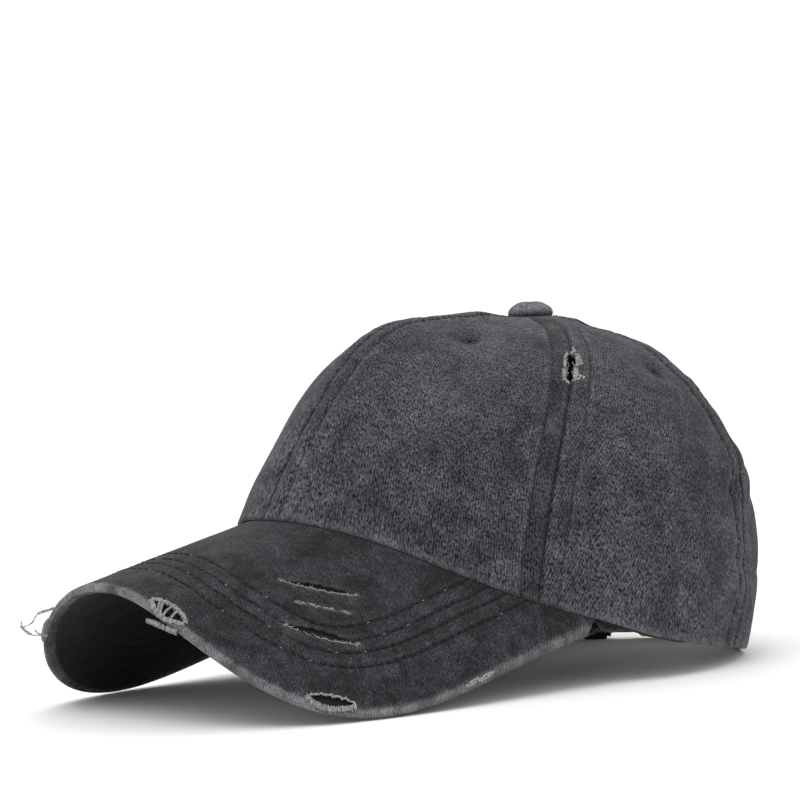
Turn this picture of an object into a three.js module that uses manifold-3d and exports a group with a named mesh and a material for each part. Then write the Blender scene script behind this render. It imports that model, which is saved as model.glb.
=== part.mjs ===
import * as THREE from 'three';
import Module from 'manifold-3d';

// Ponytail baseball cap resting on a flat surface. Millimetres, +Z up, the brim points to -Y,
// the wearer's left is +X. Azimuths run in degrees from the brim's centre (0) round to the back (180).

// Crown
const CROWN_LENGTH = 197;
const CROWN_WIDTH = 175;
const CROWN_HEIGHT = 124.5;
const CROWN_CREST_BACK = 25;
const CROWN_WALL = 1.2;
const CROWN_TOP_SHARE = 0.98;

// Seams between the six panels, as azimuths at the rim and their change up to the top
const FRONT_SEAM_AZIMUTH = 59;
const FRONT_SEAM_TURN = 22;
const REAR_SEAM_AZIMUTH = 118;
const REAR_SEAM_TURN = 8;

// Brim
const BRIM_WIDTH = 160;
const BRIM_LENGTH = 66.8;
const BRIM_SIDE_LENGTH = 33;
const BRIM_JUNCTION_HEIGHT = 59.0;
const BRIM_DROP = 58.7;
const BRIM_SQUARENESS = 2.93;
const BRIM_CENTRE_SLOPE = 0.227;
const BRIM_SIDE_SLOPE = 0.266;
const BRIM_END_AZIMUTH = 73;
const BRIM_CLOTH = 0.8;
const BRIM_BOARD_THICKNESS = 1.0;
const BRIM_EDGE_LIP = 2.5;
const BRIM_UNDER_CROWN = 0.9;

// Bands, strap and buckle at the back
const BINDING_WIDTH = 8;
const BINDING_THICKNESS = 1.2;
const BINDING_LIP = 0.9;
const TEARDROP_BOTTOM = 42;
const TEARDROP_LENGTH = 86;
const TEARDROP_WIDTH = 37;
const ARCH_WIDTH = 71;
const ARCH_HEIGHT = 34.4;
const ARCH_ROUNDNESS = 1.85;
const ARCH_FOOT = 0.8;
const STRAP_WIDTH = 18.6;
const STRAP_BOTTOM = 2;
const STRAP_THICKNESS = 1.4;
const TAB_INNER_END = 26.5;
const TAB_OUTER_END = 46;
const TAB_DEPTH = 2.6;
const BUCKLE_SIDE = 15.2;
const BUCKLE_WIDTH = 16.6;
const BUCKLE_HEIGHT = 21.4;
const BUCKLE_BOTTOM = 1.2;
const BUCKLE_WIRE = 1.5;
const BUCKLE_CORNER = 2;
const LEVER_WIDTH = 3.8;
const LEVER_HEIGHT = 18;
const LEVER_THICKNESS = 1;
const LEVER_STAND_OFF = 1.9;
const LEVER_TEETH = 10;
const LEVER_TOOTH = 0.6;

// Sweatband
const SWEATBAND_HEIGHT = 25;
const SWEATBAND_THICKNESS = 1;
const SWEATBAND_END_AZIMUTH = 150;
const SWEATBAND_BELOW_BRIM = 0.8;

// Top button
const BUTTON_DIAMETER = 16.4;
const BUTTON_HEIGHT = 5.2;
const BUTTON_SHANK_DIAMETER = 3.6;
const BUTTON_SHANK_LENGTH = 4;

// Holes
const EYELET_DIAMETER = 4;
const HOLE_LENGTH = 14;
const HOLE_WIDTH = 4;

// Clearances
const GAP = 0.3;
const SWEATBAND_GAP = 0.7;
const SWEATBAND_DROP = 3.4;
const SWEATBAND_SHOWN = 0.5;

// Crown meridians every 30 degrees: reach as a share of the plan ellipse, lean inward in degrees,
// rise as a share of the crown's height, crest as a share of the reach
const MERIDIANS = [
  { reach: 1.025, lean: 31.5, rise: 0.78, crest: 0.45 },
  { reach: 0.937, lean: 19.5, rise: 0.63, crest: 0.61 },
  { reach: 0.931, lean: -2.6, rise: 0.60, crest: 0.795 },
  { reach: 1.0, lean: -10, rise: 0.615, crest: 0.725 },
  { reach: 0.975, lean: -17, rise: 0.65, crest: 0.655 },
  { reach: 0.94, lean: -13.5, rise: 0.645, crest: 0.61 },
  { reach: 0.975, lean: -7.3, rise: 0.625, crest: 0.58 },
];
const MERIDIAN_STEP = 30;

// Rim behind the brim: height as a share of the crown's height
const RIM_LIFTS = [
  { azimuth: 86, lift: 0.122 },
  { azimuth: 100, lift: 0.082 },
  { azimuth: 115, lift: 0.052 },
  { azimuth: 130, lift: 0.028 },
  { azimuth: 144, lift: 0.009 },
  { azimuth: 154, lift: 0 },
  { azimuth: 180, lift: 0 },
];

// Arch of the brim: fall as a share of the brim's drop, at even steps from centre to side
const BRIM_ARCH = [0, 0.058, 0.25, 0.568, 1, 1.52];
const BRIM_ARCH_STEP = 0.25;

// Soft dents and creases in the crown: centre, size and depth; a negative depth stands out
const DENTS = [
  { azimuth: 40, share: 0.09, acrossDegrees: 16, upShare: 0.02, depth: 1.0 },
  { azimuth: 92, share: 0.14, acrossDegrees: 14, upShare: 0.03, depth: 1.2 },
  { azimuth: 121, share: 0.17, acrossDegrees: 6, upShare: 0.05, depth: 1.8 },
  { azimuth: 122, share: 0.33, acrossDegrees: 5, upShare: 0.06, depth: -1.2 },
  { azimuth: 150, share: 0.62, acrossDegrees: 7, upShare: 0.05, depth: 1.8 },
  { azimuth: 146, share: 0.74, acrossDegrees: 8, upShare: 0.04, depth: -0.9 },
  { azimuth: 130, share: 0.79, acrossDegrees: 26, upShare: 0.09, depth: 1.8 },
  { azimuth: 0, share: 0.84, acrossDegrees: 50, upShare: 0.065, depth: -1.3 },
  { azimuth: -15, share: 0.04, acrossDegrees: 16, upShare: 0.08, depth: -1.1 },
  { azimuth: -30, share: 0.42, acrossDegrees: 24, upShare: 0.09, depth: 1.0 },
  { azimuth: -100, share: 0.12, acrossDegrees: 14, upShare: 0.03, depth: 1.2 },
  { azimuth: -118, share: 0.4, acrossDegrees: 6, upShare: 0.07, depth: 1.8 },
  { azimuth: -136, share: 0.7, acrossDegrees: 8, upShare: 0.05, depth: 2.0 },
  { azimuth: -146, share: 0.58, acrossDegrees: 5, upShare: 0.06, depth: -1.6 },
];

// Teardrop opening: half width as a share of half the width, at shares of its length
const TEARDROP_SIDE = [
  { up: 0, out: 0 },
  { up: 0.12, out: 0.42 },
  { up: 0.3, out: 0.77 },
  { up: 0.45, out: 0.95 },
  { up: 0.6, out: 1 },
  { up: 0.74, out: 0.93 },
  { up: 0.87, out: 0.72 },
  { up: 0.96, out: 0.42 },
];

// Strap: distance to the side and depth of its middle behind the crown's outer face
const STRAP_PATH = [
  { side: 45, depth: 2.4 },
  { side: 26, depth: 2.35 },
  { side: 18, depth: 1.3 },
  { side: 6, depth: 0.9 },
  { side: -2.5, depth: 1.5 },
  { side: -6.9, depth: 2.2 },
  { side: -11, depth: 0.4 },
  { side: -15, depth: -0.5 },
  { side: -19.5, depth: 0.3 },
  { side: -23.5, depth: 2.7 },
  { side: -27, depth: 4.5 },
  { side: -33, depth: 4.7 },
  { side: -45, depth: 4.7 },
];

// Slashes through the brim's top cloth: ends as shares of half the width and of the length
const BRIM_SLASHES = [
  { acrossA: 0.459, outA: 0.321, acrossB: 0.624, outB: 0.031, width: 2.4 },
  { acrossA: 0.615, outA: 0.454, acrossB: 0.767, outB: 0.173, width: 2.4 },
];

// Torn notches in the edge of the brim's top cloth: start and end angle along the edge, depth
const BRIM_TEARS = [
  { from: 10, to: 20.5, depth: 3.2 },
  { from: 52.5, to: 63.5, depth: 3.4 },
  { from: 84.5, to: 89, depth: 1.8 },
];

const BRIM_TOTAL = 2 * BRIM_CLOTH + BRIM_BOARD_THICKNESS + 2 * GAP;
const CROWN_HALF_LENGTH = CROWN_LENGTH / 2;
const CROWN_HALF_WIDTH = CROWN_WIDTH / 2;
const BRIM_HALF_WIDTH = BRIM_WIDTH / 2;
const FRONT_REACH = MERIDIANS[0].reach * CROWN_HALF_LENGTH;

const wasm = await Module();
wasm.setup();

const group = new THREE.Group();
group.name = 'ponytail_baseball_cap';

function radians(degrees) {
  return degrees * Math.PI / 180;
}

// Smooth curve through evenly spaced values, mirrored about the first one
function smoothValue(values, position) {
  const last = values.length - 2;
  const cell = Math.min(Math.max(Math.floor(position), 0), last);
  const share = position - cell;
  const before = values[Math.abs(cell - 1)];
  const start = values[cell];
  const end = values[cell + 1];
  const after = cell < last ? values[cell + 2] : values[cell];
  const linear = (end - before) * share;
  const square = (2 * before - 5 * start + 4 * end - after) * share ** 2;
  const cube = (3 * start - before - 3 * end + after) * share ** 3;
  return start + 0.5 * (linear + square + cube);
}

function meridianValue(column, azimuth) {
  const turn = Math.abs(((azimuth + 540) % 360) - 180);
  return smoothValue(MERIDIANS.map((row) => row[column]), turn / MERIDIAN_STEP);
}

function rimReach(azimuth) {
  const across = Math.sin(radians(azimuth)) / CROWN_HALF_WIDTH;
  const along = Math.cos(radians(azimuth)) / CROWN_HALF_LENGTH;
  return meridianValue('reach', azimuth) / Math.hypot(across, along);
}

// Middle surface of the brim and how much longer a vertical step is than a square one
function brimHeight(x, y) {
  const share = Math.abs(x) / BRIM_HALF_WIDTH;
  const fall = BRIM_DROP * smoothValue(BRIM_ARCH, share / BRIM_ARCH_STEP);
  const slope = BRIM_CENTRE_SLOPE + (BRIM_SIDE_SLOPE - BRIM_CENTRE_SLOPE) * share ** 2;
  return BRIM_JUNCTION_HEIGHT - fall + slope * (y + FRONT_REACH);
}

function brimSlopes(x, y) {
  const step = 0.5;
  const alongX = (brimHeight(x + step, y) - brimHeight(x - step, y)) / (2 * step);
  const alongY = (brimHeight(x, y + step) - brimHeight(x, y - step)) / (2 * step);
  return { alongX, alongY, steepness: Math.hypot(1, alongX, alongY) };
}

function brimSeatHeight(x, y) {
  return brimHeight(x, y) + (BRIM_TOTAL / 2 + GAP) * brimSlopes(x, y).steepness;
}

// Height of the crown's lower edge at a plan position
function rimHeight(azimuth, x, y) {
  const turn = Math.abs(((azimuth + 540) % 360) - 180);
  if (turn <= BRIM_END_AZIMUTH) {
    return brimSeatHeight(x, y);
  }
  const endReach = rimReach(BRIM_END_AZIMUTH);
  const endX = endReach * Math.sin(radians(BRIM_END_AZIMUTH));
  const endY = -endReach * Math.cos(radians(BRIM_END_AZIMUTH));
  let before = { azimuth: BRIM_END_AZIMUTH, lift: brimSeatHeight(endX, endY) / CROWN_HEIGHT };
  for (const row of RIM_LIFTS) {
    if (turn <= row.azimuth) {
      const share = (turn - before.azimuth) / (row.azimuth - before.azimuth);
      return CROWN_HEIGHT * (before.lift + (row.lift - before.lift) * share);
    }
    before = row;
  }
  return 0;
}

function dentDepth(azimuth, share) {
  let depth = 0;
  for (const dent of DENTS) {
    const across = (((azimuth - dent.azimuth + 540) % 360) - 180) / dent.acrossDegrees;
    const up = (share - dent.share) / dent.upShare;
    depth += dent.depth * Math.exp(-across * across - up * up);
  }
  return depth;
}

// Outer face of the crown before denting; share runs from 0 at the rim to 1 at the top
function smoothCrown(azimuth, share) {
  const angle = radians(azimuth);
  const reach = rimReach(azimuth);
  const lean = radians(meridianValue('lean', azimuth));
  const rise = meridianValue('rise', azimuth) * CROWN_HEIGHT;
  const crest = meridianValue('crest', azimuth) * reach;
  const foot = rimHeight(azimuth, reach * Math.sin(angle), -reach * Math.cos(angle));
  const left = 1 - share;
  const footPart = left ** 3;
  const risePart = 3 * left ** 2 * share;
  const crestPart = 3 * left * share ** 2;
  const radius = footPart * reach + risePart * (reach - rise * Math.sin(lean)) + crestPart * crest;
  const height = footPart * foot + risePart * (foot + rise * Math.cos(lean))
    + (crestPart + share ** 3) * CROWN_HEIGHT;
  return new THREE.Vector3(
    radius * Math.sin(angle),
    -radius * Math.cos(angle) + CROWN_CREST_BACK * share ** 2,
    height,
  );
}

function crownNormal(azimuth, share) {
  const across = smoothCrown(azimuth + 0.5, share).sub(smoothCrown(azimuth - 0.5, share));
  const up = smoothCrown(azimuth, share + 0.005).sub(smoothCrown(azimuth, share - 0.005));
  return across.cross(up).normalize();
}

function crownPoint(azimuth, share, outward) {
  const normal = crownNormal(azimuth, share);
  return smoothCrown(azimuth, share).addScaledVector(normal, outward - dentDepth(azimuth, share));
}

// Point of the wall's lower edge, square to the crown in plan
function rimPoint(azimuth, inward) {
  const outer = smoothCrown(azimuth, 0);
  const normal = crownNormal(azimuth, 0).setZ(0).normalize();
  const point = outer.addScaledVector(normal, -inward);
  point.z = rimHeight(azimuth, point.x, point.y);
  return point;
}

// Closed body from two faces of one grid
function shell(columns, rows, front, back) {
  const width = columns + 1;
  const count = width * (rows + 1);
  const positions = [];
  for (const face of [front, back]) {
    for (let row = 0; row <= rows; row += 1) {
      for (let column = 0; column <= columns; column += 1) {
        positions.push(...face(column / columns, row / rows, column, row).toArray());
      }
    }
  }
  const triangles = [];
  for (let row = 0; row < rows; row += 1) {
    for (let column = 0; column < columns; column += 1) {
      const a = row * width + column;
      const b = a + 1;
      const c = a + width;
      const d = c + 1;
      triangles.push(a, b, d, a, d, c);
      triangles.push(count + a, count + d, count + b, count + a, count + c, count + d);
    }
  }
  for (let column = 0; column < columns; column += 1) {
    const low = column;
    const high = rows * width + column;
    triangles.push(low, count + low, low + 1, low + 1, count + low, count + low + 1);
    triangles.push(high, high + 1, count + high, high + 1, count + high + 1, count + high);
  }
  for (let row = 0; row < rows; row += 1) {
    const left = row * width;
    const right = left + columns;
    triangles.push(left, left + width, count + left, left + width, count + left + width, count + left);
    triangles.push(right, count + right, right + width, right + width, count + right, count + right + width);
  }
  return outwardFacing(positions, triangles);
}

// Closed body from a row of rings, each ring a list of points
function ringBody(rings, closed, caps) {
  const size = rings[0].length;
  const positions = rings.flat().flatMap((point) => point.toArray());
  const triangles = [];
  const steps = closed ? rings.length : rings.length - 1;
  for (let ring = 0; ring < steps; ring += 1) {
    const next = (ring + 1) % rings.length;
    for (let k = 0; k < size; k += 1) {
      const a = ring * size + k;
      const b = ring * size + (k + 1) % size;
      const c = next * size + k;
      const d = next * size + (k + 1) % size;
      triangles.push(a, b, d, a, d, c);
    }
  }
  if (!closed) {
    const end = (rings.length - 1) * size;
    for (const [a, b, c] of caps) {
      triangles.push(a, c, b);
      triangles.push(end + a, end + b, end + c);
    }
  }
  return outwardFacing(positions, triangles);
}

function outwardFacing(positions, triangles) {
  let volume = 0;
  const corner = (index) => new THREE.Vector3().fromArray(positions, 3 * index);
  for (let k = 0; k < triangles.length; k += 3) {
    const a = corner(triangles[k]);
    const b = corner(triangles[k + 1]);
    const c = corner(triangles[k + 2]);
    volume += a.dot(b.cross(c));
  }
  if (volume < 0) {
    triangles.reverse();
  }
  const geometry = new THREE.BufferGeometry();
  geometry.setAttribute('position', new THREE.Float32BufferAttribute(positions, 3));
  geometry.setIndex(triangles);
  return geometry;
}

function toManifold(geometry) {
  return new wasm.Manifold(new wasm.Mesh({
    numProp: 3,
    vertProperties: new Float32Array(geometry.attributes.position.array),
    triVerts: new Uint32Array(geometry.index.array),
  }));
}

function cutAway(geometry, cutters) {
  let body = toManifold(geometry);
  for (const cutter of cutters) {
    body = body.subtract(toManifold(cutter));
  }
  const mesh = body.getMesh();
  return outwardFacing(Array.from(mesh.vertProperties), Array.from(mesh.triVerts));
}

function addPiece(name, geometry, colour) {
  const material = new THREE.MeshStandardMaterial({ color: colour });
  const mesh = new THREE.Mesh(geometry, material);
  mesh.name = name;
  group.add(mesh);
}

// Back of the crown unrolled: side to the wearer's left, up along the wall, out from the face
const BACK_STEPS = 200;
const backLengths = [0];
for (let step = 1; step <= BACK_STEPS; step += 1) {
  const lower = smoothCrown(180, (step - 1) / BACK_STEPS);
  const upper = smoothCrown(180, step / BACK_STEPS);
  backLengths.push(backLengths[step - 1] + lower.distanceTo(upper));
}

function backShare(up) {
  let step = 1;
  while (step < BACK_STEPS && backLengths[step] < up) {
    step += 1;
  }
  const span = backLengths[step] - backLengths[step - 1];
  return (step - 1 + (up - backLengths[step - 1]) / span) / BACK_STEPS;
}

function backPoint(side, up, out) {
  const share = backShare(up);
  const centre = smoothCrown(180, share);
  const radius = centre.y - CROWN_CREST_BACK * share ** 2;
  return crownPoint(180 - side / radius * 180 / Math.PI, share, out);
}

// Outlines of the two back openings, as points of that unrolled face
function teardropOutline() {
  const left = TEARDROP_SIDE.map((row) => new THREE.Vector2(
    row.out * TEARDROP_WIDTH / 2,
    TEARDROP_BOTTOM + row.up * TEARDROP_LENGTH,
  ));
  const top = new THREE.Vector2(0, TEARDROP_BOTTOM + TEARDROP_LENGTH);
  const right = left.map((point) => new THREE.Vector2(-point.x, point.y)).reverse();
  const points = new THREE.SplineCurve([...left, top, ...right]).getSpacedPoints(48);
  points.pop();
  return points;
}

function archOutline(foot) {
  const points = [];
  const steps = 28;
  for (let step = 0; step <= steps; step += 1) {
    const angle = Math.PI * step / steps;
    const cosine = Math.cos(angle);
    const side = Math.sign(cosine) * Math.abs(cosine) ** (2 / ARCH_ROUNDNESS) * ARCH_WIDTH / 2;
    points.push(new THREE.Vector2(side, Math.sin(angle) ** (2 / ARCH_ROUNDNESS) * ARCH_HEIGHT));
  }
  points[0].y = foot;
  points[steps].y = foot;
  return points;
}

// Moves an outline away from the opening it goes round
function widened(points, distance, closed) {
  const count = points.length;
  return points.map((point, k) => {
    const before = closed ? points[(k + count - 1) % count] : points[Math.max(k - 1, 0)];
    const after = closed ? points[(k + 1) % count] : points[Math.min(k + 1, count - 1)];
    const along = after.clone().sub(before).normalize();
    return new THREE.Vector2(point.x + along.y * distance, point.y - along.x * distance);
  });
}

// Arch with its foot line below the rim, a given distance outside the opening
function archFootprint(distance) {
  const foot = -4;
  const curve = widened(archOutline(foot), distance, false);
  const steps = 8;
  for (let step = 1; step < steps; step += 1) {
    curve.push(new THREE.Vector2((step / steps - 0.5) * ARCH_WIDTH, foot));
  }
  return curve;
}

// Plug through the wall with the shape of an outline
function plug(points, depth) {
  const rings = points.map((point) => [
    backPoint(point.x, point.y, -depth),
    backPoint(point.x, point.y, depth),
  ]);
  const middle = points.reduce((sum, point) => sum.add(point), new THREE.Vector2())
    .divideScalar(points.length);
  const inner = backPoint(middle.x, middle.y, -depth);
  const outer = backPoint(middle.x, middle.y, depth);
  const positions = [...rings.flat(), inner, outer].flatMap((point) => point.toArray());
  const count = rings.length;
  const triangles = [];
  for (let k = 0; k < count; k += 1) {
    const next = (k + 1) % count;
    const [a, b, c, d] = [2 * k, 2 * k + 1, 2 * next, 2 * next + 1];
    triangles.push(a, d, b, a, c, d);
    triangles.push(a, 2 * count, c);
    triangles.push(b, d, 2 * count + 1);
  }
  return outwardFacing(positions, triangles);
}

// Binding with a flange on the outer face and a lip through the cut edge
function binding(points, closed) {
  const bottom = -CROWN_WALL;
  const step = GAP;
  const top = GAP + BINDING_THICKNESS;
  const section = [
    [0, bottom], [BINDING_LIP, bottom], [BINDING_LIP, step],
    [BINDING_WIDTH, step], [BINDING_WIDTH, top], [BINDING_WIDTH / 2, top], [0, top],
  ];
  const rows = section.map(([across]) => widened(points, across, closed));
  const rings = points.map((point, k) => section.map(
    ([, out], corner) => backPoint(rows[corner][k].x, rows[corner][k].y, out),
  ));
  const caps = [[0, 1, 2], [0, 2, 6], [2, 5, 6], [2, 3, 5], [3, 4, 5]];
  return ringBody(rings, closed, caps);
}

// Rod square to the crown's face, for a round or a long hole
function crownRod(azimuth, share, halfAcross, halfUp) {
  const centre = smoothCrown(azimuth, share);
  const normal = crownNormal(azimuth, share);
  const up = smoothCrown(azimuth, share + 0.005).sub(smoothCrown(azimuth, share - 0.005)).normalize();
  const across = up.clone().cross(normal);
  const sides = 10;
  const rings = [-3, 3].map((out) => Array.from({ length: sides }, (_, k) => {
    const angle = 2 * Math.PI * k / sides;
    return centre.clone().addScaledVector(normal, out)
      .addScaledVector(across, halfAcross * Math.cos(angle))
      .addScaledVector(up, halfUp * Math.sin(angle));
  }));
  const caps = Array.from({ length: sides - 2 }, (_, k) => [0, k + 1, k + 2]);
  return ringBody(rings, false, caps);
}

// Six crown panels
function frontSeam(share) {
  return FRONT_SEAM_AZIMUTH + FRONT_SEAM_TURN * share;
}

function rearSeam(share) {
  return REAR_SEAM_AZIMUTH + REAR_SEAM_TURN * share;
}

function panel(startSeam, endSeam, columns, rows) {
  const place = (across, up) => {
    const share = CROWN_TOP_SHARE * up;
    const start = startSeam(share);
    const end = endSeam(share);
    const azimuth = start + (end - start) * across;
    const point = smoothCrown(azimuth, share);
    const side = point.distanceTo(smoothCrown(azimuth + 0.5, share)) / 0.5;
    const inset = GAP / 2 / side;
    return { azimuth: azimuth + inset * (1 - 2 * across), share };
  };
  const outer = (across, up) => {
    const { azimuth, share } = place(across, up);
    return up === 0 ? rimPoint(azimuth, 0) : crownPoint(azimuth, share, 0);
  };
  const inner = (across, up) => {
    const { azimuth, share } = place(across, up);
    return up === 0 ? rimPoint(azimuth, CROWN_WALL) : crownPoint(azimuth, share, -CROWN_WALL);
  };
  return shell(columns, rows, outer, inner);
}

const PANEL_ROWS = 14;
const cutEdge = BINDING_LIP + GAP;
const teardropCut = plug(widened(teardropOutline(), cutEdge, true), 5);
const archCut = plug(archFootprint(cutEdge), 5);
const eyelet = (azimuth, share) => crownRod(azimuth, share, EYELET_DIAMETER / 2, EYELET_DIAMETER / 2);
const HOLE_SHARE = 0.547;
const seamHole = crownRod(frontSeam(HOLE_SHARE), HOLE_SHARE, HOLE_WIDTH / 2, HOLE_LENGTH / 2);
const FRONT_EYELET = { azimuth: 36.3, share: 0.62 };
const SIDE_EYELET = { azimuth: 104.8, share: 0.577 };

addPiece('front_panel_left', cutAway(
  panel(() => 0, frontSeam, 10, PANEL_ROWS),
  [eyelet(FRONT_EYELET.azimuth, FRONT_EYELET.share), seamHole],
), 0x4c4c50);
addPiece('front_panel_right', cutAway(
  panel((share) => -frontSeam(share), () => 0, 10, PANEL_ROWS),
  [eyelet(-FRONT_EYELET.azimuth, FRONT_EYELET.share)],
), 0x4a4a4e);
addPiece('side_panel_left', cutAway(
  panel(frontSeam, rearSeam, 10, PANEL_ROWS),
  [eyelet(SIDE_EYELET.azimuth, SIDE_EYELET.share), seamHole],
), 0x48484c);
addPiece('side_panel_right', cutAway(
  panel((share) => -rearSeam(share), (share) => -frontSeam(share), 10, PANEL_ROWS),
  [eyelet(-SIDE_EYELET.azimuth, SIDE_EYELET.share)],
), 0x48484c);
addPiece('back_panel_left', cutAway(
  panel(rearSeam, () => 180, 10, PANEL_ROWS),
  [teardropCut, archCut],
), 0x4b4b4f);
addPiece('back_panel_right', cutAway(
  panel(() => -180, (share) => -rearSeam(share), 10, PANEL_ROWS),
  [teardropCut, archCut],
), 0x4b4b4f);

// Brim of three layers; the two cloths meet in a lip round the board's edge
function brimEdge(angle) {
  const turn = radians(Math.min(Math.abs(angle), 90));
  const sideY = -FRONT_REACH + BRIM_SIDE_LENGTH;
  const frontY = -FRONT_REACH - BRIM_LENGTH;
  let x = BRIM_HALF_WIDTH * Math.sin(turn) ** (2 / BRIM_SQUARENESS);
  let y = sideY - (sideY - frontY) * Math.cos(turn) ** (2 / BRIM_SQUARENESS);
  if (Math.abs(angle) > 90) {
    const share = (Math.abs(angle) - 90) / 10;
    const reach = rimReach(BRIM_END_AZIMUTH);
    x += (reach * Math.sin(radians(BRIM_END_AZIMUTH)) - x) * share ** 1.5;
    y += (-reach * Math.cos(radians(BRIM_END_AZIMUTH)) - y) * share;
  }
  return new THREE.Vector2(Math.sign(angle) * x, y);
}

const BRIM_COLUMNS = 38;
const BRIM_LAST_ANGLE = 97.5;

// Layer offsets are square to the brim at its edge and straight up at the crown
function brimPoint(across, inset, share, offset) {
  const angle = BRIM_LAST_ANGLE * (2 * across - 1);
  const inner = rimPoint(angle / 100 * BRIM_END_AZIMUTH, BRIM_UNDER_CROWN);
  const edge = brimEdge(angle);
  const length = Math.hypot(edge.x - inner.x, edge.y - inner.y);
  const reach = Math.max(1 - inset / length, 0.3) * share;
  const x = inner.x + (edge.x - inner.x) * reach;
  const y = inner.y + (edge.y - inner.y) * reach;
  const { alongX, alongY, steepness } = brimSlopes(x, y);
  const tilt = reach * offset / steepness;
  return new THREE.Vector3(
    x - alongX * tilt,
    y - alongY * tilt,
    brimHeight(x, y) + (1 - reach) * offset * steepness + tilt,
  );
}

// Share of the way out and edge inset for each row of a cloth with a lip
const CLOTH_ROWS = [
  { share: 0, inset: BRIM_EDGE_LIP + GAP, lip: false },
  { share: 0.33, inset: BRIM_EDGE_LIP + GAP, lip: false },
  { share: 0.67, inset: BRIM_EDGE_LIP + GAP, lip: false },
  { share: 1, inset: BRIM_EDGE_LIP + GAP, lip: false },
  { share: 1, inset: BRIM_EDGE_LIP, lip: true },
  { share: 1, inset: 0, lip: true },
];

function brimCloth(side) {
  const outside = side * BRIM_TOTAL / 2;
  const inside = side * (BRIM_TOTAL / 2 - BRIM_CLOTH);
  const outer = (across, up, column, row) => brimPoint(
    across, CLOTH_ROWS[row].inset, CLOTH_ROWS[row].share, outside,
  );
  const inner = (across, up, column, row) => brimPoint(
    across, CLOTH_ROWS[row].inset, CLOTH_ROWS[row].share,
    CLOTH_ROWS[row].lip ? side * GAP / 2 : inside,
  );
  return shell(BRIM_COLUMNS, CLOTH_ROWS.length - 1, outer, inner);
}

function brimBoard() {
  const face = (offset) => (across, up) => brimPoint(across, BRIM_EDGE_LIP + 2 * GAP, up, offset);
  return shell(BRIM_COLUMNS, 3, face(BRIM_BOARD_THICKNESS / 2), face(-BRIM_BOARD_THICKNESS / 2));
}

// Upright body over a plan outline, for cutting the brim's top cloth
function brimPrism(points) {
  const centre = points.reduce((sum, point) => sum.add(point), new THREE.Vector2())
    .divideScalar(points.length);
  const level = brimHeight(centre.x, centre.y);
  const loop = THREE.ShapeUtils.isClockWise(points) ? points.reverse() : points;
  const rings = [level - 12, level + 12].map(
    (z) => loop.map((point) => new THREE.Vector3(point.x, point.y, z)),
  );
  return ringBody(rings, false, THREE.ShapeUtils.triangulateShape(loop, []));
}

function slashPrism(slash) {
  const place = (across, out) => new THREE.Vector2(
    across * BRIM_HALF_WIDTH,
    -FRONT_REACH - out * BRIM_LENGTH,
  );
  const start = place(slash.acrossA, slash.outA);
  const end = place(slash.acrossB, slash.outB);
  const along = end.clone().sub(start);
  const side = new THREE.Vector2(-along.y, along.x).normalize();
  const rows = [0, 0.15, 0.35, 0.6, 0.85, 1];
  const bow = (share, direction) => start.clone().addScaledVector(along, share)
    .addScaledVector(side, direction * slash.width / 2 * Math.sin(Math.PI * share));
  const near = rows.map((share) => bow(share, 1));
  const far = rows.slice(1, -1).reverse().map((share) => bow(share, -1));
  return brimPrism([...near, ...far]);
}

function tearPrism(tear) {
  const steps = 6;
  const inside = [];
  const beyond = [];
  for (let step = 0; step <= steps; step += 1) {
    const angle = tear.from + (tear.to - tear.from) * step / steps;
    const edge = brimEdge(angle);
    const along = brimEdge(angle + 0.5).sub(brimEdge(angle - 0.5)).normalize();
    const outward = new THREE.Vector2(-along.y, along.x).multiplyScalar(-1);
    const depth = tear.depth * Math.sin(Math.PI * step / steps) ** 0.7;
    inside.push(edge.clone().addScaledVector(outward, 0.6 - depth));
    beyond.push(edge.clone().addScaledVector(outward, 4));
  }
  return brimPrism([...inside, ...beyond.reverse()]);
}

addPiece('brim_top', cutAway(
  brimCloth(1),
  [...BRIM_SLASHES.map(slashPrism), ...BRIM_TEARS.map(tearPrism)],
), 0x46464a);
addPiece('brim_board', brimBoard(), 0x141416);
addPiece('brim_under', brimCloth(-1), 0x2a2a2e);

// Sweatband inside the rim
const SWEATBAND_ROWS = 3;
const sweatbandFace = (inset) => (across, up) => {
  const azimuth = SWEATBAND_END_AZIMUTH * (2 * across - 1);
  const turn = Math.abs(azimuth);
  if (up === 0) {
    const point = rimPoint(azimuth, inset + 0.15);
    const below = (BRIM_TOTAL + GAP) * brimSlopes(point.x, point.y).steepness + SWEATBAND_BELOW_BRIM;
    const beside = Math.min(Math.max((turn - BRIM_END_AZIMUTH - 3) / 4, 0), 1);
    const behind = Math.min(Math.max((turn - BRIM_END_AZIMUTH - 22) / 8, 0), 1);
    point.z += behind - Math.min(below, SWEATBAND_DROP) * (1 - beside);
    point.z -= SWEATBAND_SHOWN * beside * (1 - behind);
    return point;
  }
  const climb = 2 + (SWEATBAND_HEIGHT - 2) * (up * SWEATBAND_ROWS - 1) / (SWEATBAND_ROWS - 1);
  const share = climb / (3 * meridianValue('rise', azimuth) * CROWN_HEIGHT);
  return crownPoint(azimuth, share, -inset);
};
addPiece('sweatband', shell(
  56,
  SWEATBAND_ROWS,
  sweatbandFace(CROWN_WALL + SWEATBAND_GAP),
  sweatbandFace(CROWN_WALL + SWEATBAND_GAP + SWEATBAND_THICKNESS),
), 0x1c1c20);

// Bindings of the ponytail opening and of the arch over the strap
const underArch = plug(archFootprint(BINDING_WIDTH + GAP), 4);
addPiece('ponytail_binding', cutAway(binding(teardropOutline(), true), [underArch]), 0x3e3e42);
addPiece('arch_binding', binding(archOutline(ARCH_FOOT), false), 0x3a3a3e);

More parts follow.
